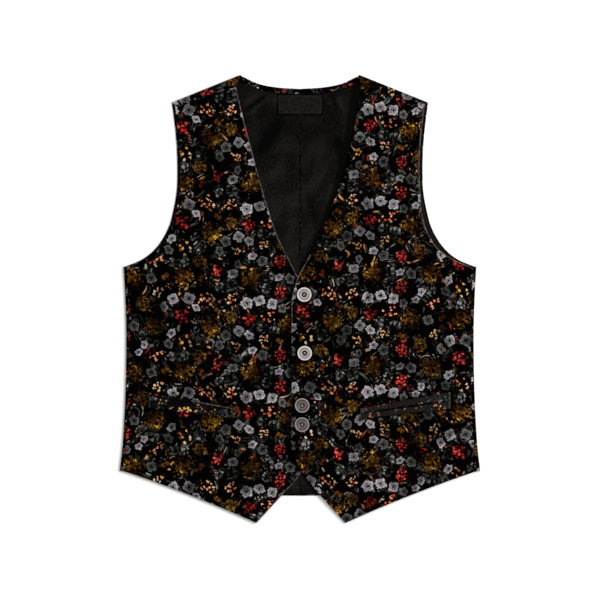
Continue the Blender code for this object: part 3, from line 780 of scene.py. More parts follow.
def label_patch():
    x = np.linspace(LABEL_LEFT, LABEL_RIGHT, LABEL_COLUMNS + 1)
    y = np.linspace(LABEL_TOP, LABEL_FOOT, LABEL_ROWS + 1)
    places = np.stack(np.meshgrid(x, y), axis=2)
    down = (LABEL_TOP - places[..., 1]) / (LABEL_TOP - LABEL_FOOT)
    base = LINING_TOP + SEAM_GAP + LABEL_LIFT * down**3
    return wall_over(places, base, base + LABEL_WALL)


# The print's layout


def wrapped(gaps):
    """Gaps between places of the print, brought to the nearest copy in the half-drop repeat."""
    drops = np.round(gaps[..., 0] / REPEAT_WIDTH)
    x = gaps[..., 0] - drops * REPEAT_WIDTH
    y = gaps[..., 1] - drops * REPEAT_HEIGHT / 2
    y = y - np.round(y / REPEAT_HEIGHT) * REPEAT_HEIGHT
    return np.stack([x, y], axis=-1)


Placed = namedtuple("Placed", "place radius kind turn seed squash")


class Print:
    """The motifs of one repeat, each put where it has the most room among those before it."""

    def __init__(self, rows):
        draw = random.Random(LAYOUT_SEED)
        made = []
        for row in rows:
            for number in range(row.count):
                radius = row.radius * (1 + row.spread * (2 * draw.random() - 1))
                draws = np.array([(draw.random(), draw.random()) for _ in range(LAYOUT_TRIES)])
                tries, others = draws * (REPEAT_WIDTH, REPEAT_HEIGHT), made
                if row.paired and number % 2:
                    angle = draws[:, 0] * 2 * math.pi
                    reach = TOUCHING * (made[-1].radius + radius)
                    tries = made[-1].place + reach * np.stack([np.cos(angle), np.sin(angle)], axis=1)
                    others = made[:-1]
                room = np.full(LAYOUT_TRIES, REPEAT_HEIGHT)
                for other in others:
                    gap = np.linalg.norm(wrapped(tries - other.place), axis=1) - other.radius - radius
                    room = np.minimum(room, gap)
                turn, seed, squash = draw.random() * 2 * math.pi, draw.random(), 1 - SQUASH * draw.random()
                place = tries[room.argmax()]
                made.append(Placed(place, radius, KINDS.index(row.kind), turn, seed, squash))
        self.places, self.radii, self.kinds, self.turns, self.seeds, self.squashes = map(np.array, zip(*made))

    def motif_at(self, places):
        """For each place the motif whose edge is nearest, and the gap from that motif's centre."""
        gaps = wrapped(places[:, None] - self.places[None])
        nearest = (np.linalg.norm(gaps, axis=2) - self.radii).argmin(axis=1)
        return nearest, gaps[np.arange(len(places)), nearest]


LAYOUT = Print(MOTIFS)
TRIM_LAYOUT = Print([row for row in MOTIFS if row.kind in TRIM_KINDS])

# The printed cloth that each piece was cut from, and where the piece lies in it
PATTERNS = {
    "left": (LAYOUT, (31.0, 12.0)),
    "right": (LAYOUT, (-18.0, -47.0)),
    "back": (LAYOUT, (90.0, 61.0)),
    "upper": (TRIM_LAYOUT, (57.0, 38.0)),
    "lower": (TRIM_LAYOUT, (-20.0, 90.0)),
    "neck": (TRIM_LAYOUT, (12.0, 70.0)),
}


# Meshes


def read(items, name, size=1, kind=np.float32):
    """A property of every item in one of a mesh's collections, with size numbers each."""
    values = np.empty(len(items) * size, kind)
    items.foreach_get(name, values)
    return values.reshape(-1, size) if size > 1 else values


def store(mesh, name, values, domain="POINT"):
    """Keeps a number for each point or face of a mesh, for its material. Values may be one number for all."""
    layer = mesh.attributes.new(name, "FLOAT", domain)
    layer.data.foreach_set("value", np.broadcast_to(values, len(layer.data)).astype(np.float32))


def plan(mesh):
    """Where each point of a mesh lies, seen from above."""
    return read(mesh.vertices, "co", 3)[:, :2].astype(float) / MM


def add_rim_distance(mesh, edge):
    """Stores how far each point lies from the nearest place on an edge, in millimetres."""
    points = plan(mesh)
    nearest = np.full(len(points), np.inf)
    for first in range(0, len(edge), RIM_CHUNK):
        gaps = np.linalg.norm(points[:, None] - edge[first : first + RIM_CHUNK], axis=2)
        nearest = np.minimum(nearest, gaps.min(axis=1))
    store(mesh, "rim", nearest)


def add_print(mesh, layout, drawn_from):
    """Tells each face which motif it carries, and each of its corners the place in that motif."""
    cloth = read(mesh.uv_layers["cloth"].data, "uv", 2).astype(float) + drawn_from
    starts = read(mesh.polygons, "loop_start", kind=np.int32)
    totals = read(mesh.polygons, "loop_total", kind=np.int32)
    owner = np.repeat(np.arange(len(starts)), totals)
    centres = np.add.reduceat(cloth, starts, axis=0) / totals[:, None]
    nearest, gaps = layout.motif_at(centres)
    local = cloth - centres[owner] + gaps[owner]
    motifs = nearest[owner]
    turn, radius = layout.turns[motifs], layout.radii[motifs]
    x = (local[:, 0] * np.cos(turn) + local[:, 1] * np.sin(turn)) / radius
    y = (local[:, 1] * np.cos(turn) - local[:, 0] * np.sin(turn)) / radius / layout.squashes[motifs]
    in_motif = mesh.uv_layers.new(name="motif", do_init=False)
    in_motif.data.foreach_set("uv", np.stack([x, y], axis=1).astype(np.float32).ravel())
    store(mesh, "kind", layout.kinds[nearest], "FACE")
    store(mesh, "seed", layout.seeds[nearest], "FACE")


def joined(patches):
    """The points of both faces, with those that meet joined, and the quads with their places in the cloth."""
    index, outer, inner, quads, corners = {}, [], [], [], []
    around = ((0, 0), (1, 0), (1, 1), (0, 1))
    for patch in patches:
        rows, columns = patch.outer.shape[:2]
        numbers = np.empty((rows, columns), int)
        for r, c in np.ndindex(rows, columns):
            key = tuple(np.round(patch.outer[r, c], MERGE_DIGITS))
            if key not in index:
                index[key] = len(outer)
                outer.append(patch.outer[r, c])
                inner.append(patch.inner[r, c])
            numbers[r, c] = index[key]
        for r, c in np.ndindex(rows - 1, columns - 1):
            quads.append(tuple(int(numbers[r + i, c + j]) for i, j in around))
            corners.append([patch.cloth[r + i, c + j] for i, j in around])
    return outer, inner, quads, corners


def shell_mesh(name, patches):
    """A closed wall of cloth, with outer faces first, then inner ones, then the rim, and the rim's places."""
    outer, inner, quads, corners = joined(patches)
    sides = {}
    for quad, places in zip(quads, corners):
        for k in range(4):
            a, b = quad[k], quad[(k + 1) % 4]
            sides.setdefault(frozenset((a, b)), []).append((a, b, places[k], places[(k + 1) % 4]))
    count = len(outer)
    faces = quads + [tuple(i + count for i in quad[::-1]) for quad in quads]
    cloth = corners + [places[::-1] for places in corners]
    for (a, b, place_a, place_b), *more in sides.values():
        if not more:
            faces.append((b, a, a + count, b + count))
            cloth.append([place_b, place_a, place_a, place_b])
    mesh = bpy.data.meshes.new(name)
    mesh.from_pydata(np.array(outer + inner) * MM, [], faces)
    layer = mesh.uv_layers.new(name="cloth", do_init=False)
    layer.data.foreach_set("uv", np.concatenate(cloth).astype(np.float32).ravel())
    inside = np.zeros(len(faces), np.int32)
    inside[len(quads) : 2 * len(quads)] = 1
    mesh.polygons.foreach_set("material_index", inside)
    rim = sorted({i for pair, found in sides.items() if len(found) == 1 for i in pair})
    return mesh, np.array(outer)[rim, :2]


# Materials


def linear(colour):
    """A colour seen as these 0 to 255 values, as the shaders take it. A node's output stays as it is."""
    if isinstance(colour, tuple):
        return (*((value / 255) ** 2.2 for value in colour), 1.0)
    return colour


class Graph:
    """The nodes of one material. Each call adds one and gives back its output."""

    def __init__(self, name, roughness, gloss, sheen=0.0, coat=0.0):
        self.material = bpy.data.materials.new(name)
        self.material.use_nodes = True
        self.tree = self.material.node_tree
        self.sockets = self.tree.nodes["Principled BSDF"].inputs
        self.sockets["Roughness"].default_value = roughness
        self.sockets["Specular IOR Level"].default_value = gloss
        self.sockets["Sheen Weight"].default_value = sheen
        self.sockets["Sheen Roughness"].default_value = 0.5
        self.sockets["Coat Weight"].default_value = coat
        self.sockets["Coat Roughness"].default_value = 0.12

    def put(self, socket, value):
        if isinstance(value, bpy.types.NodeSocket):
            self.tree.links.new(value, socket)
        else:
            socket.default_value = value

    def node(self, kind, inputs, output=0, **settings):
        made = self.tree.nodes.new("ShaderNode" + kind)
        for setting, value in settings.items():
            setattr(made, setting, value)
        for socket, value in inputs.items():
            self.put(made.inputs[socket], value)
        return made.outputs[output]

    def math(self, operation, a, b=0.0, c=0.0):
        return self.node("Math", {0: a, 1: b, 2: c}, operation=operation)

    def times(self, *factors):
        product = factors[0]
        for factor in factors[1:]:
            product = self.math("MULTIPLY", product, factor)
        return product

    def swing(self, noise, size, middle):
        """The middle, moved up and down by a noise that runs from 0 to 1."""
        return self.math("MULTIPLY_ADD", self.math("SUBTRACT", noise, 0.5), size, middle)

    def wave(self, value, length):
        return self.math("SINE", self.times(value, 2 * math.pi / length))

    def vector(self, operation, a, b=(0.0, 0.0, 0.0)):
        output = "Value" if operation == "LENGTH" else "Vector"
        return self.node("VectorMath", {0: a, 1: b}, output, operation=operation)

    def point(self, x=0.0, y=0.0):
        return self.node("CombineXYZ", {0: x, 1: y})

    def axes(self, places):
        return self.node("SeparateXYZ", {0: places}).node.outputs[:]

    def mix(self, amount, a, b):
        return self.node("Mix", {0: amount, 6: linear(a), 7: linear(b)}, 2, data_type="RGBA")

    def ramp(self, value, low, high, start=0.0, end=1.0):
        """Goes smoothly from start at low to end at high."""
        inputs = {"Value": value, "From Min": low, "From Max": high, "To Min": start, "To Max": end}
        return self.node("MapRange", inputs, interpolation_type="SMOOTHSTEP")

    def blend(self, value, low, high, a, b):
        """Colour a where the value is low, and colour b where it is high."""
        return self.mix(self.ramp(value, low, high), a, b)

    def below(self, value, limit, blur):
        """1 where the value is below the limit, and 0 above it."""
        return self.ramp(self.math("SUBTRACT", value, limit), -blur, blur, 1.0, 0.0)

    def attribute(self, name):
        return self.node("Attribute", {}, "Fac", attribute_name=name)

    def places(self, layer):
        return self.node("UVMap", {}, uv_map=layer)

    def stretched(self, places, across, along, turn=0.0):
        """The same places with other scales across and along, after a turn in degrees."""
        inputs = {"Vector": places, "Rotation": (0, 0, math.radians(turn)), "Scale": (across, along, 1)}
        return self.node("Mapping", inputs, vector_type="TEXTURE")

    def noise(self, places, size, detail=2.0, output="Fac"):
        inputs = {"Vector": places, "Scale": 1 / size, "Detail": detail}
        return self.node("TexNoise", inputs, output, noise_dimensions="2D")

    def drift(self, places, size, detail, reach):
        """A smooth wandering in plan, up to about half this reach."""
        centred = self.vector("SUBTRACT", self.noise(places, size, detail, "Color"), (0.5, 0.5, 0.5))
        return self.vector("MULTIPLY", centred, (reach, reach, 0.0))

    def cloud(self, scale, detail=2.0, distortion=0.0):
        """Noise in the piece's own space, with this scale to a millimetre."""
        inputs = {"Vector": self.node("TexCoord", {}, "Object"), "Scale": scale / MM}
        return self.node("TexNoise", inputs | {"Detail": detail, "Distortion": distortion})

    def voronoi(self, places, size, randomness, feature="F1"):
        inputs = {"Vector": places, "Scale": 1 / size, "Randomness": randomness}
        made = self.node("TexVoronoi", inputs, voronoi_dimensions="2D", feature=feature)
        return made.node.outputs

    def cells(self, places, size, randomness=0.85):
        """Voronoi cells: the distance from each one's centre in cells, its random numbers, its centre."""
        outputs = self.voronoi(places, size, randomness)
        draws = self.node("SeparateColor", {0: outputs["Color"]})
        return outputs["Distance"], draws.node.outputs[:3], outputs["Position"]

    def parted(self, places, size, randomness):
        """0 on the lines between the same cells and 1 away from them."""
        off_line = self.voronoi(places, size, randomness, "DISTANCE_TO_EDGE")["Distance"]
        return self.ramp(off_line, 0.04, 0.13)

    def bump(self, height, distance, strength):
        inputs = {"Height": height, "Distance": distance * MM, "Strength": strength}
        self.put(self.sockets["Normal"], self.node("Bump", inputs))

    def finish(self, colour):
        self.put(self.sockets["Base Color"], colour)
        return self.material


# What every motif is drawn from: its own places within a circle of radius 1, and random numbers
Spot = namedtuple("Spot", "places radius angle seed grain fine")


def draw_bloom(g, spot):
    """Four or five round petals about a dark eye, some dim and some pale."""
    chance = g.math("FRACT", g.times(spot.seed, 7.0))
    petals = g.math("ADD", g.math("GREATER_THAN", chance, 0.5), 4.0)
    turned = g.math("MULTIPLY_ADD", spot.angle, petals, g.times(spot.seed, 6.3))
    lobes = g.math("MULTIPLY_ADD", g.math("COSINE", turned), 0.09, 0.82)
    reach = g.swing(spot.grain, 0.55, lobes)
    shape = g.below(spot.radius, reach, 0.06)
    eye = g.below(spot.radius, g.math("MULTIPLY_ADD", spot.grain, 0.3, 0.06), 0.05)
    off_slit = g.times(g.math("ABSOLUTE", g.math("COSINE", g.times(turned, 0.5))), spot.radius)
    slit = g.times(g.below(off_slit, 0.07, 0.07), g.ramp(spot.radius, 0.3, 0.6), 0.85)
    edge = g.below(g.math("SUBTRACT", reach, spot.radius), 0.20, 0.14)
    veins = g.ramp(spot.fine, 0.42, 0.60)
    pale = g.mix(edge, g.mix(veins, (76, 73, 76), (142, 137, 141)), (172, 166, 168))
    dim = g.mix(edge, g.mix(veins, (34, 34, 34), (62, 62, 61)), (88, 87, 86))
    colour = g.mix(slit, g.blend(spot.seed, 0.44, 0.70, pale, dim), (24, 22, 24))
    return shape, g.mix(eye, colour, (14, 10, 14))


def draw_dots(g, spot, size, filled, share):
    """Round dots inside the circle: their mask, and two random numbers for each dot."""
    shift = g.point(g.times(spot.seed, 40.0), spot.seed)
    moved = g.vector("ADD", g.stretched(spot.places, 0.85, 1.2), shift)
    distance, (size_draw, tint, shown), centre = g.cells(moved, size, 0.7)
    from_middle = g.vector("LENGTH", g.vector("SUBTRACT", centre, shift))
    dot = g.below(distance, g.ramp(size_draw, 0, 1, filled * 0.78, filled * 1.12), 0.05)
    kept = g.times(g.below(from_middle, 0.84, 0.01), g.below(shown, share, 0.01))
    return g.times(dot, kept, g.parted(moved, size, 0.7)), tint, size_draw


def draw_berries(g, spot):
    mask, tint, _ = draw_dots(g, spot, 0.42, 0.43, 0.92)
    colour = g.blend(tint, 0.1, 0.6, (100, 26, 27), (190, 54, 50))
    colour = g.blend(tint, 0.72, 0.95, colour, (214, 92, 76))
    return mask, g.mix(g.ramp(spot.grain, 0.5, 0.65, 0.0, 0.6), colour, (52, 10, 14))


def draw_spray(g, spot):
    mask, tint, size = draw_dots(g, spot, 0.46, 0.33, 0.84)
    warm = g.blend(tint, 0.15, 0.55, (200, 182, 144), (214, 140, 98))
    hot = g.blend(size, 0.3, 0.7, (200, 76, 44), (206, 150, 62))
    return mask, g.blend(tint, 0.62, 0.75, warm, hot)


def draw_head(g, spot):
    """A head of short strokes, outward or side by side, golden at one end and brown at the other."""
    shift = g.times(spot.seed, 9.0)
    around = g.times(spot.angle, STROKES_AROUND / (2 * math.pi))
    rays = g.point(around, g.math("MULTIPLY_ADD", spot.radius, 2.1, shift))
    fan = g.vector("ADD", g.stretched(spot.places, 0.17, 0.40), g.point(y=shift))
    rays = g.mix(g.math("GREATER_THAN", spot.seed, 0.5), rays, fan)
    distance, (bright, _, shown), _ = g.cells(rays, 1.0, 0.75)
    stroke = g.times(g.below(distance, 0.46, 0.08), g.below(shown, 0.88, 0.01), g.parted(rays, 1.0, 0.75))
    edge = g.swing(spot.grain, 1.1, 0.92)
    stroke = g.times(stroke, g.below(spot.radius, edge, 0.04), g.ramp(spot.radius, 0.18, 0.26))
    middle, _, _ = g.cells(spot.places, 0.17, 0.8)
    core = g.times(g.below(middle, 0.38, 0.08), g.below(spot.radius, 0.22, 0.04))
    _, side, _ = g.axes(spot.places)
    lit = g.math("MULTIPLY_ADD", side, 0.5, bright)
    colour = g.blend(lit, 0.15, 0.75, (50, 30, 13), (116, 78, 28))
    colour = g.blend(lit, 0.85, 1.15, colour, (190, 144, 58))
    return g.math("MAXIMUM", stroke, core), g.mix(g.times(core, 0.6), colour, (112, 72, 24))


def draw_sprig(g, spot):
    """Long thin leaves side by side, in ochre and olive."""
    moved = g.vector("ADD", g.stretched(spot.places, 0.17, 0.62), g.point(g.times(spot.seed, 30.0)))
    distance, (bright, tint, shown), _ = g.cells(moved, 1.0, 0.55)
    leaf = g.times(g.below(distance, 0.40, 0.07), g.below(spot.radius, 0.90, 0.05), g.below(shown, 0.9, 0.01))
    colour = g.blend(bright, 0.1, 0.9, (60, 48, 22), (126, 98, 46))
    return leaf, g.blend(tint, 0.6, 0.7, colour, (96, 54, 20))


def draw_bud(g, spot):
    """Two fat petals of a half-open bud."""
    x, y, _ = g.axes(spot.places)
    aside = g.math("SUBTRACT", g.math("ABSOLUTE", x), 0.40)
    from_middle = g.vector("LENGTH", g.point(g.times(aside, 1.5), g.times(y, 0.95)))
    shape = g.below(from_middle, g.swing(spot.grain, 0.4, 0.56), 0.06)
    colour = g.blend(spot.seed, 0.3, 0.7, (98, 44, 18), (114, 72, 26))
    return shape, g.blend(spot.grain, 0.42, 0.6, colour, (50, 26, 12))


def draw_leaves(g, spot):
    """Dim pointed leaves, a few light grey among them."""
    moved = g.vector("ADD", g.stretched(spot.places, 0.36, 0.85), g.point(y=g.times(spot.seed, 30.0)))
    distance, (bright, tint, _), _ = g.cells(moved, 1.0, 0.7)
    leaf = g.times(g.below(distance, 0.40, 0.08), g.below(spot.radius, 0.95, 0.05))
    colour = g.blend(bright, 0.1, 0.9, (24, 25, 23), (74, 76, 72))
    return leaf, g.blend(tint, 0.74, 0.86, colour, (126, 126, 124))


DRAWN = {
    "head": draw_head,
    "berries": draw_berries,
    "spray": draw_spray,
    "sprig": draw_sprig,
    "bloom": draw_bloom,
    "bud": draw_bud,
    "leaves": draw_leaves,
}


def strewn_ground(g, cloth, ground, clear):
    """The ground with dim marks on it, and small dots clear of the motifs, both in loose groups."""
    gathered = g.ramp(g.noise(cloth, 17.0), 0.42, 0.58)
    bent = g.vector("ADD", cloth, g.drift(cloth, 26.0, 0.0, 34.0))
    marks, (bright, _, shown), _ = g.cells(g.stretched(bent, 1.0, 2.4, 35), 3.5)
    mark = g.times(g.below(marks, 0.33, 0.10), g.ramp(shown, 0.25, 0.29), gathered)
    colour = g.mix(mark, ground, g.mix(bright, (10, 10, 10), (60, 60, 56)))
    dots, (size, tint, shown), _ = g.cells(g.stretched(bent, 0.8, 1.25, -35), 6.4)
    dot = g.times(g.below(dots, g.ramp(size, 0, 1, 0.16, 0.28), 0.06), g.ramp(shown, 0.54, 0.56), clear)
    cool = g.blend(tint, 0.2, 0.5, (96, 96, 90), (164, 160, 140))
    dot_colour = g.blend(tint, 0.50, 0.54, cool, (192, 132, 78))
    dot_colour = g.blend(tint, 0.85, 0.87, dot_colour, (150, 38, 34))
    return g.mix(g.times(dot, gathered), colour, dot_colour)


def make_printed():
    """Near-black cloth with dim marks, small dots in the gaps and the motifs over them."""
    g = Graph("printed_cloth", 0.9, 0.01)
    cloth = g.places("cloth")
    kind, grain = g.attribute("kind"), g.noise(cloth, 2.4)
    places = g.vector("ADD", g.places("motif"), g.drift(cloth, 3.2, 1.0, 0.40))
    x, y, _ = g.axes(places)
    radius, angle = g.vector("LENGTH", places), g.math("ARCTAN2", y, x)
    spot = Spot(places, radius, angle, g.attribute("seed"), grain, g.noise(cloth, 1.5, 1.0))

    ground = g.blend(g.noise(cloth, 9.0), 0.35, 0.7, (3, 3, 3), (9, 8, 8))
    ground = g.mix(g.attribute("plain"), ground, g.mix(grain, (14, 14, 14), (42, 42, 41)))
    colour = strewn_ground(g, cloth, ground, g.ramp(radius, 0.98, 1.10))
    for number, name in enumerate(KINDS):
        is_kind = g.math("COMPARE", kind, float(number), 0.4)
        if name not in LYING_ON_MARKS:
            colour = g.mix(g.times(is_kind, g.below(radius, HALO_REACH, 0.08), HALO_SHARE), colour, ground)
        mask, drawn = DRAWN[name](g, spot)
        colour = g.mix(g.times(mask, is_kind), colour, drawn)

    colour = g.mix(g.ramp(g.noise(cloth, 34.0, 2.0), 0.36, 0.58, 0.65, 0.0), colour, ground)
    # Painted shade in the creases' troughs and beside the upper front; the neck facing is dimmed the same way
    colour = g.mix(g.ramp(g.attribute("painted_light_and_tone"), -0.9, 0.0, 0.7, 0.0), colour, ground)
    # Painted highlight and wear: a light, broken line along the edges given for it
    highlight_and_wear = g.times(g.below(g.attribute("rim"), 1.3, 0.9), g.ramp(g.noise(cloth, 6.0), 0.36, 0.62, 0.25, 0.8))
    colour = g.mix(highlight_and_wear, colour, (98, 94, 91))
    # Painted shade in the pocket's mouth, along the welts and round the buttons
    colour = g.mix(g.times(g.attribute("dark"), 0.9), colour, (4, 4, 4))
    x, y, _ = g.axes(cloth)
    weave = g.times(g.wave(x, WARP_PITCH), g.wave(y, WEFT_PITCH), 0.5)
    g.bump(g.math("ADD", weave, g.noise(cloth, 1.6, 3.0)), 0.35, 0.55)
    return g.finish(colour)


def make_lining():
    """A dark twill with a low sheen and soft mottling, painted lighter on its pulls and darker in painted
    shade.
    """
    g = Graph("lining_cloth", 0.6, 0.02)
    cloth = g.places("cloth")
    x, y, _ = g.axes(cloth)
    rib = g.ramp(g.wave(g.math("ADD", x, g.times(y, TWILL_SLOPE)), TWILL_PITCH), -1, 1)
    mottle = g.noise(g.stretched(cloth, 1.0, 1.7, -28), 26.0, 1.6)
    grain = g.noise(g.stretched(cloth, 1.0, 2.2, 20), 2.4)
    colour = g.blend(mottle, 0.38, 0.68, (7, 7, 6), (24, 23, 20))
    colour = g.mix(g.ramp(grain, 0.45, 0.7, 0.0, 0.3), colour, (40, 39, 36))
    colour = g.mix(g.times(rib, 0.32), colour, (32, 31, 29))
    painted_light_and_tone = g.attribute("painted_light_and_tone")
    # Painted light: lighter on the pulls, near black in painted shade and shadow
    colour = g.mix(g.ramp(painted_light_and_tone, 0.05, 0.9, 0.0, 0.55), colour, (42, 41, 38))
    colour = g.mix(g.ramp(painted_light_and_tone, -0.8, 0.0, 0.92, 0.0), colour, (2, 2, 2))
    colour = g.mix(g.below(g.attribute("rim"), 1.2, 0.9), colour, (2, 2, 2))
    g.bump(g.math("ADD", rib, g.noise(cloth, 1.2)), 0.2, 0.5)
    return g.finish(colour)


def make_label():
    """A plain dense weave, slightly paler along its rim."""
    g = Graph("label_cloth", 0.75, 0.02)
    cloth = g.places("cloth")
    _, y, _ = g.axes(cloth)
    lines = g.ramp(g.wave(y, LABEL_PITCH), -1, 1)
    colour = g.blend(g.noise(cloth, 6.0, 3.0), 0.3, 0.7, (17, 17, 16), (28, 27, 25))
    colour = g.mix(g.times(lines, 0.3), colour, (40, 39, 36))
    colour = g.mix(g.times(g.below(g.attribute("rim"), 1.2, 0.8), 0.3), colour, (46, 45, 43))
    g.bump(g.math("ADD", lines, g.noise(cloth, 0.9)), 0.15, 0.5)
    return g.finish(colour)


def make_button(name, rings, roughness):
    """A polished disc whose tone follows its turned rings, with a faint cloudy figure and painted shade in
    its holes.
    """
    g = Graph(name, roughness, 0.2, coat=0.1)
    radius = g.attribute("ring")
    colour = rings[0][1]
    for (start, _), (end, tone) in zip(rings, rings[1:]):
        colour = g.blend(radius, start, end, colour, tone)
    colour = g.mix(g.ramp(g.cloud(0.35, 3.0, 1.2), 0.45, 0.75, 0.0, 0.35), colour, (120, 112, 118))
    _, _, height = g.axes(g.node("TexCoord", {}, "Object"))
    # Painted shade: the holes are near black below this height inside the eye
    hole_shade = g.times(g.below(height, HOLE_DARK * MM, 0.1 * MM), g.below(radius, EYE_RADIUS, 0.1))
    g.bump(g.cloud(2.0), 0.03, 0.3)
    return g.finish(g.mix(hole_shade, colour, (6, 5, 5)))


def make_thread(name, dark, light):
    g = Graph(name, 0.8, 0.2, sheen=0.05)
    twist = g.cloud(2.5)
    g.bump(twist, 0.08, 0.6)
    return g.finish(g.blend(twist, 0.35, 0.65, dark, light))


def make_floor():
    g = Graph("floor", 0.9, 0.0)
    return g.finish(g.mix(g.cloud(0.003), (244, 243, 241), (250, 250, 249)))


PRINTED, LINING, LABEL = make_printed(), make_lining(), make_label()
PEARL = make_button("pearl_button", PEARL_RINGS, 0.26)
GREY = make_button("grey_button", GREY_RINGS, 0.30)
DARK_THREAD = make_thread("dark_thread", (6, 6, 6), (20, 19, 18))
GREY_THREAD = make_thread("grey_thread", (30, 29, 28), (58, 56, 54))
PALE_THREAD = make_thread("pale_thread", (130, 126, 122), (200, 195, 190))

# A cloth's slot, and the materials of its outer and inner face
Cloth = namedtuple("Cloth", "slot face inside")
PRINTED_ALONE = Cloth("printed_cloth", PRINTED, PRINTED)
PRINTED_LINED = Cloth("printed_cloth", PRINTED, LINING)
LINING_CLOTH = Cloth("lining_cloth", LINING, LINING)
LABEL_CLOTH = Cloth("label_cloth", LABEL, LABEL)


# Pieces


def link(name, data):
    made = bpy.data.objects.new(name, data)
    bpy.context.scene.collection.objects.link(made)
    return made


def add_object(name, data, material):
    data.materials.append(material)
    return link(name, data)


def add_cloth(name, node, cloth, wall, patches, rests_on, strip=False, pattern=None, highlight_and_wear=None):
    """A piece of cloth with rounded rims, laid on others, that stands for one of the model's solids.

    Its painted highlight and wear lie along the given line of places, or else along its whole rim. Gives back
    its mesh."""
    mesh, rim = shell_mesh(name, patches)
    shape = bmesh.new()
    shape.from_mesh(mesh)
    bmesh.ops.recalc_face_normals(shape, faces=shape.faces)
    shape.to_mesh(mesh)
    shape.free()
    add_rim_distance(mesh, rim if highlight_and_wear is None else highlight_and_wear)
    if pattern:
        add_print(mesh, *pattern)
    mesh.materials.append(cloth.face)
    mesh.materials.append(cloth.inside)
    mesh.shade_smooth()
    piece = link(name, mesh)
    rounding = piece.modifiers.new("Rims", "BEVEL")
    rounding.width = wall * RIM_SHARE * MM
    rounding.segments = RIM_SEGMENTS
    rounding.limit_method = "ANGLE"
    rounding.angle_limit = RIM_ANGLE
    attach(piece, "root")
    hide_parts(node)
    return mesh


def grain_form():
    """The points and faces of one stitch, a grain that is 1 long, 1 wide and 1 high."""
    points, faces = [], [tuple(range(GRAIN_SIDES))[::-1]]
    for ring, (along, girth) in enumerate(GRAIN_RINGS):
        first = ring * GRAIN_SIDES
        for k in range(GRAIN_SIDES):
            angle = 2 * math.pi * k / GRAIN_SIDES
            points.append((along, 0.5 * girth * math.cos(angle), 0.5 * girth * math.sin(angle)))
            if ring > 0:
                a, b = first + k, first + (k + 1) % GRAIN_SIDES
                faces.append((a - GRAIN_SIDES, b - GRAIN_SIDES, b, a))
    faces.append(tuple(range(len(points) - GRAIN_SIDES, len(points))))
    return np.array(points), faces


def running_stitches(path, pitch, way=None):
    """Centres and ways of stitches one pitch apart along a path of points, lying along it or all one way."""
    length = np.linalg.norm(np.diff(path, axis=0), axis=1).sum()
    count = max(2, int(length / pitch))
    points = resample(path, 2 * count + 1)
    centres, ways = points[1::2], points[2::2] - points[:-1:2]
    return centres, ways if way is None else np.tile(way, (len(centres), 1))


def add_stitches(name, rows, thread, stitch):
    """Stitches as one piece, from rows of (centres, ways): a grain at each centre, lying along its way."""
    form, form_faces = grain_form()
    points, faces = [], []
    for centre, way in (pair for row in rows for pair in zip(*row)):
        way = way / np.linalg.norm(way)
        side = np.array([-way[1], way[0], 0.0]) / math.hypot(way[0], way[1])
        up = np.cross(way, side)
        first = len(points) * len(form)
        axes = np.stack([way * stitch.length, side * stitch.width, up * stitch.height])
        points.append(form @ axes + centre)
        faces += [tuple(i + first for i in face) for face in form_faces]
    mesh = bpy.data.meshes.new(name)
    mesh.from_pydata(np.concatenate(points) * MM, [], faces)
    mesh.shade_smooth()
    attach(add_object(name, mesh, thread), "root")


def add_back(word, front):
    patches = back_patches(BACK_HALF, front)
    looks = {"pattern": PATTERNS["back"], "highlight_and_wear": FAR_AWAY}
    name, node = f"back_{word}_cloth", f"back_{word}"
    add_cloth(name, node, PRINTED_ALONE, BACK_WALL, patches, ["floor"], **looks)


def add_lining(word, front):
    patches = [lining_patch(LINING_HALF, front)]
    name, node = f"lining_{word}", f"back_lining_{word}"
    mesh = add_cloth(name, node, LINING_CLOTH, LINING_WALL, patches, [f"back_{word}_cloth"])
    store(mesh, "painted_light_and_tone", lining_painted_light(plan(mesh), front))


def add_armhole_facing(word, front):
    """The facing, with a row of sewing in each of its two grooves."""
    patch = armhole_facing_patch(front.side)
    name, node = f"armhole_facing_{word}", f"back_armhole_facing_{word}"
    mesh = add_cloth(name, node, LINING_CLOTH, LINING_WALL, [patch], [f"back_{word}_cloth"], strip=True)
    store(mesh, "painted_light_and_tone", BAND_CREST)
    grooves = [patch.outer[:, column] + (0, 0, SUNK) for column in GROOVED_COLUMNS]
    rows = [running_stitches(groove, SEWN_PITCH) for groove in grooves]
    add_stitches(f"armhole_stitches_{word}", rows, GREY_THREAD, SEWN_STITCH)


def add_front(word, front):
    patches = [wall_over(front.grid, front.underside(front.grid), front.surface(front.grid))]
    below = [f"lining_{word}", f"back_{word}_cloth"]
    looks = {"pattern": PATTERNS[word], "highlight_and_wear": front.highlight_and_wear}
    name, node = f"front_{word}_cloth", f"front_{word}"
    mesh = add_cloth(name, node, PRINTED_LINED, FRONT_WALL, patches, below, **looks)
    store(mesh, "dark", front.painted_shade_share(plan(mesh)))
    store(mesh, "painted_light_and_tone", front.painted_light(plan(mesh)))


def add_welts(word, front):
    """Both welts of a pocket, with a bar of tacks at each end."""
    highlight_and_wear = resample(np.array(WELT_HIGHLIGHT_AND_WEAR[word]), HIGHLIGHT_AND_WEAR_POINTS)
    tacks = []
    for level, patch in zip(("upper", "lower"), welt_patches(front)):
        name = f"pocket_{word}_{level}"
        looks = {"pattern": PATTERNS[level], "highlight_and_wear": highlight_and_wear}
        below = [f"front_{word}_cloth"]
        mesh = add_cloth(name, f"{name}_welt", PRINTED_LINED, WELT_WALL, [patch], below, strip=True, **looks)
        store(mesh, "plain", PLAIN_WELTS[word])
        for end in (0, -1):
            tacks.append(running_stitches(patch.outer[end] + (0, 0, SUNK), TACK_PITCH, ACROSS))
    add_stitches(f"pocket_tacks_{word}", tacks, GREY_THREAD, TACK_STITCH)


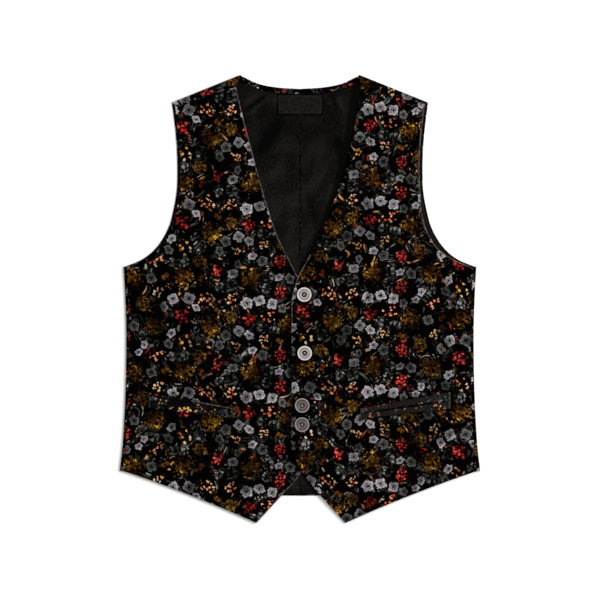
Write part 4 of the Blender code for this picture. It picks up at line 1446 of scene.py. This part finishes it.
def add_neck_facing():
    patches = [neck_facing_patch()]
    below = ["back_left_cloth", "back_right_cloth"]
    looks = {"pattern": PATTERNS["neck"], "highlight_and_wear": FAR_AWAY}
    node = "back_neck_facing"
    mesh = add_cloth("neck_facing", node, PRINTED_LINED, LINING_WALL, patches, below, strip=True, **looks)
    store(mesh, "painted_light_and_tone", NECK_CREST)


def add_label():
    """The label, with a tack at each corner."""
    patch = label_patch()
    add_cloth("label_cloth", "label", LABEL_CLOTH, LABEL_WALL, [patch], ["lining_left", "lining_right"])
    corners = patch.outer[[0, 0, -1, -1], [0, -1, 0, -1]] * (LABEL_TACK_IN, 1.0, 1.0) + (0, 0, SUNK)
    tacks = (corners, np.tile(LABEL_TACK_WAY, (len(corners), 1)))
    add_stitches("label_tacks", [tacks], DARK_THREAD, TACK_STITCH)


def add_hem_stitches():
    """The line of sewing above the back's hem, where the notch shows it."""
    across = np.linspace(-NOTCH_HALF, NOTCH_HALF, NOTCH_POINTS)
    hem = np.interp(abs(across), LINING_HALF.hem[:, 0], LINING_HALF.hem[:, 1])
    line = np.c_[across, hem + HEM_ALLOWANCE, np.full(len(across), LINING_TOP + SUNK)]
    add_stitches("hem_stitches", [running_stitches(line, SEWN_PITCH)], GREY_THREAD, SEWN_STITCH)


def add_buttonholes():
    """The buttonholes of the upper front, each a slit between two close rows with a bar at its end."""
    lines = [([(HOLE_START, off), (HOLE_END, off)], HOLE_POINTS, ALONG) for off in (-HOLE_ROW, HOLE_ROW)]
    lines.append(([(HOLE_END, -2 * HOLE_ROW), (HOLE_END, 2 * HOLE_ROW)], BAR_POINTS, ACROSS))
    rows = []
    for stem in STEMS:
        for ends, points, way in lines:
            line = resample(stem + np.array(ends), points)
            path = np.c_[line, FRONTS["left"].surface(line[None])[0]]
            rows.append(running_stitches(path, HOLE_STITCH_PITCH, way))
    add_stitches("buttonhole_stitches", rows, DARK_THREAD, HOLE_STITCH)


def button_pins(name):
    """Four upright pins, which cut the button's holes."""
    shape = bmesh.new()
    radius = HOLE_RADIUS * MM
    form = {"segments": HOLE_SIDES, "radius1": radius, "radius2": radius, "depth": HOLE_PIN * MM}
    for x in (-HOLE_OFFSET, HOLE_OFFSET):
        for y in (-HOLE_OFFSET, HOLE_OFFSET):
            pin = bmesh.ops.create_cone(shape, cap_ends=True, **form)
            bmesh.ops.translate(shape, verts=pin["verts"], vec=(x * MM, y * MM, 0.0))
    pins = bpy.data.meshes.new(name)
    shape.to_mesh(pins)
    shape.free()
    return link(name, pins)


def add_disc(number):
    """A turned button with four holes, where the model has it."""
    node = f"button_{number}"
    pearly = number <= PEARL_BUTTONS
    half = bpy.data.meshes.new(f"{node}_disc")
    points = [(radius * MM, 0.0, height * MM) for radius, height in BUTTON_FACE + BUTTON_BACK]
    half.from_pydata(points, [(i, i + 1) for i in range(len(points) - 1)], [])
    disc = add_object(f"{node}_disc", half, PEARL if pearly else GREY)
    turn = disc.modifiers.new("Turn", "SCREW")
    turn.steps = turn.render_steps = BUTTON_STEPS
    turn.use_merge_vertices = True
    turn.merge_threshold = AXIS_MERGE * MM
    cutter = button_pins(f"{node}_pins")
    holes = disc.modifiers.new("Holes", "BOOLEAN")
    holes.operation = "DIFFERENCE"
    holes.object = cutter
    bpy.context.view_layer.update()
    made = bpy.data.meshes.new_from_object(disc.evaluated_get(bpy.context.evaluated_depsgraph_get()))
    disc.modifiers.clear()
    disc.data = made
    bpy.data.objects.remove(cutter)
    made.shade_smooth()
    made.set_sharp_from_angle(angle=BUTTON_SHARP)
    store(made, "ring", np.linalg.norm(plan(made), axis=1))
    disc.location = button_place(number)
    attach(disc, "root")
    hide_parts(node)


def add_threads(number):
    """The cross of two strands that holds a button."""
    centre = button_place(number)
    for strand, turned in enumerate((1, -1)):
        top = EYE_FLOOR + THREAD_RADIUS * (1 + STRAND_LIFT * strand)
        rise = [(1.0, THREAD_FOOT), (1.0, EYE_FLOOR - THREAD_DIP), (THREAD_BEND, top)]
        route = [(-share, height) for share, height in rise] + [(0.0, top + THREAD_ARCH)] + rise[::-1]
        offsets = [(HOLE_OFFSET * share, HOLE_OFFSET * share * turned, height) for share, height in route]
        curve = bpy.data.curves.new(f"button_{number}_thread_{strand + 1}", "CURVE")
        curve.dimensions = "3D"
        curve.bevel_depth = THREAD_RADIUS * MM
        curve.bevel_resolution = THREAD_ROUNDNESS
        curve.use_fill_caps = True
        line = curve.splines.new("POLY")
        smooth = resample(np.array(offsets), THREAD_POINTS)
        line.points.add(len(smooth) - 1)
        for point, place in zip(line.points, smooth):
            point.co = (*(place * MM + centre), 1.0)
            share = math.hypot(place[0], place[1]) / HOLE_OFFSET
            point.radius = 1 + THREAD_SWELL * float(smooth_step(1 - share))
        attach(add_object(curve.name, curve, PALE_THREAD), "root")


def add_floor():
    mesh = bpy.data.meshes.new("floor")
    corners = [(x * FLOOR_HALF, y * FLOOR_HALF, -FLOOR_DROP) for x, y in ((-1, -1), (1, -1), (1, 1), (-1, 1))]
    mesh.from_pydata(corners, [], [(0, 1, 2, 3)])
    add_object("floor", mesh, make_floor())


def add_daylight():
    world = bpy.data.worlds.new("studio")
    world.use_nodes = True
    background = world.node_tree.nodes["Background"]
    background.inputs["Color"].default_value = (1.0, 1.0, 1.0, 1.0)
    background.inputs["Strength"].default_value = DAYLIGHT
    bpy.context.scene.world = world
    bpy.context.scene.view_settings.view_transform = "Standard"


def add_lamp(row):
    lamp = bpy.data.lights.new(row.name, "AREA")
    lamp.shape = "SQUARE"
    lamp.size = row.size
    lamp.energy = row.power
    made = link(row.name, lamp)
    made.location = row.place
    made.rotation_euler = (-Vector(row.place)).to_track_quat("-Z", "Y").to_euler()


def add_camera():
    lens = bpy.data.cameras.new("camera")
    lens.type = "ORTHO"
    lens.ortho_scale = PHOTO_SPAN * MM
    camera = link("camera", lens)
    camera.location = (0.0, PHOTO_CENTRE_Y * MM, CAMERA_HEIGHT)
    bpy.context.scene.camera = camera


for word, front in FRONTS.items():
    add_back(word, front)
    add_lining(word, front)
    add_armhole_facing(word, front)
    add_front(word, front)
    add_welts(word, front)
add_neck_facing()
add_label()
add_hem_stitches()
add_buttonholes()
for number in BUTTON_NUMBERS:
    add_disc(number)
    add_threads(number)
add_floor()
add_daylight()
for row in LAMPS:
    add_lamp(row)
add_camera()
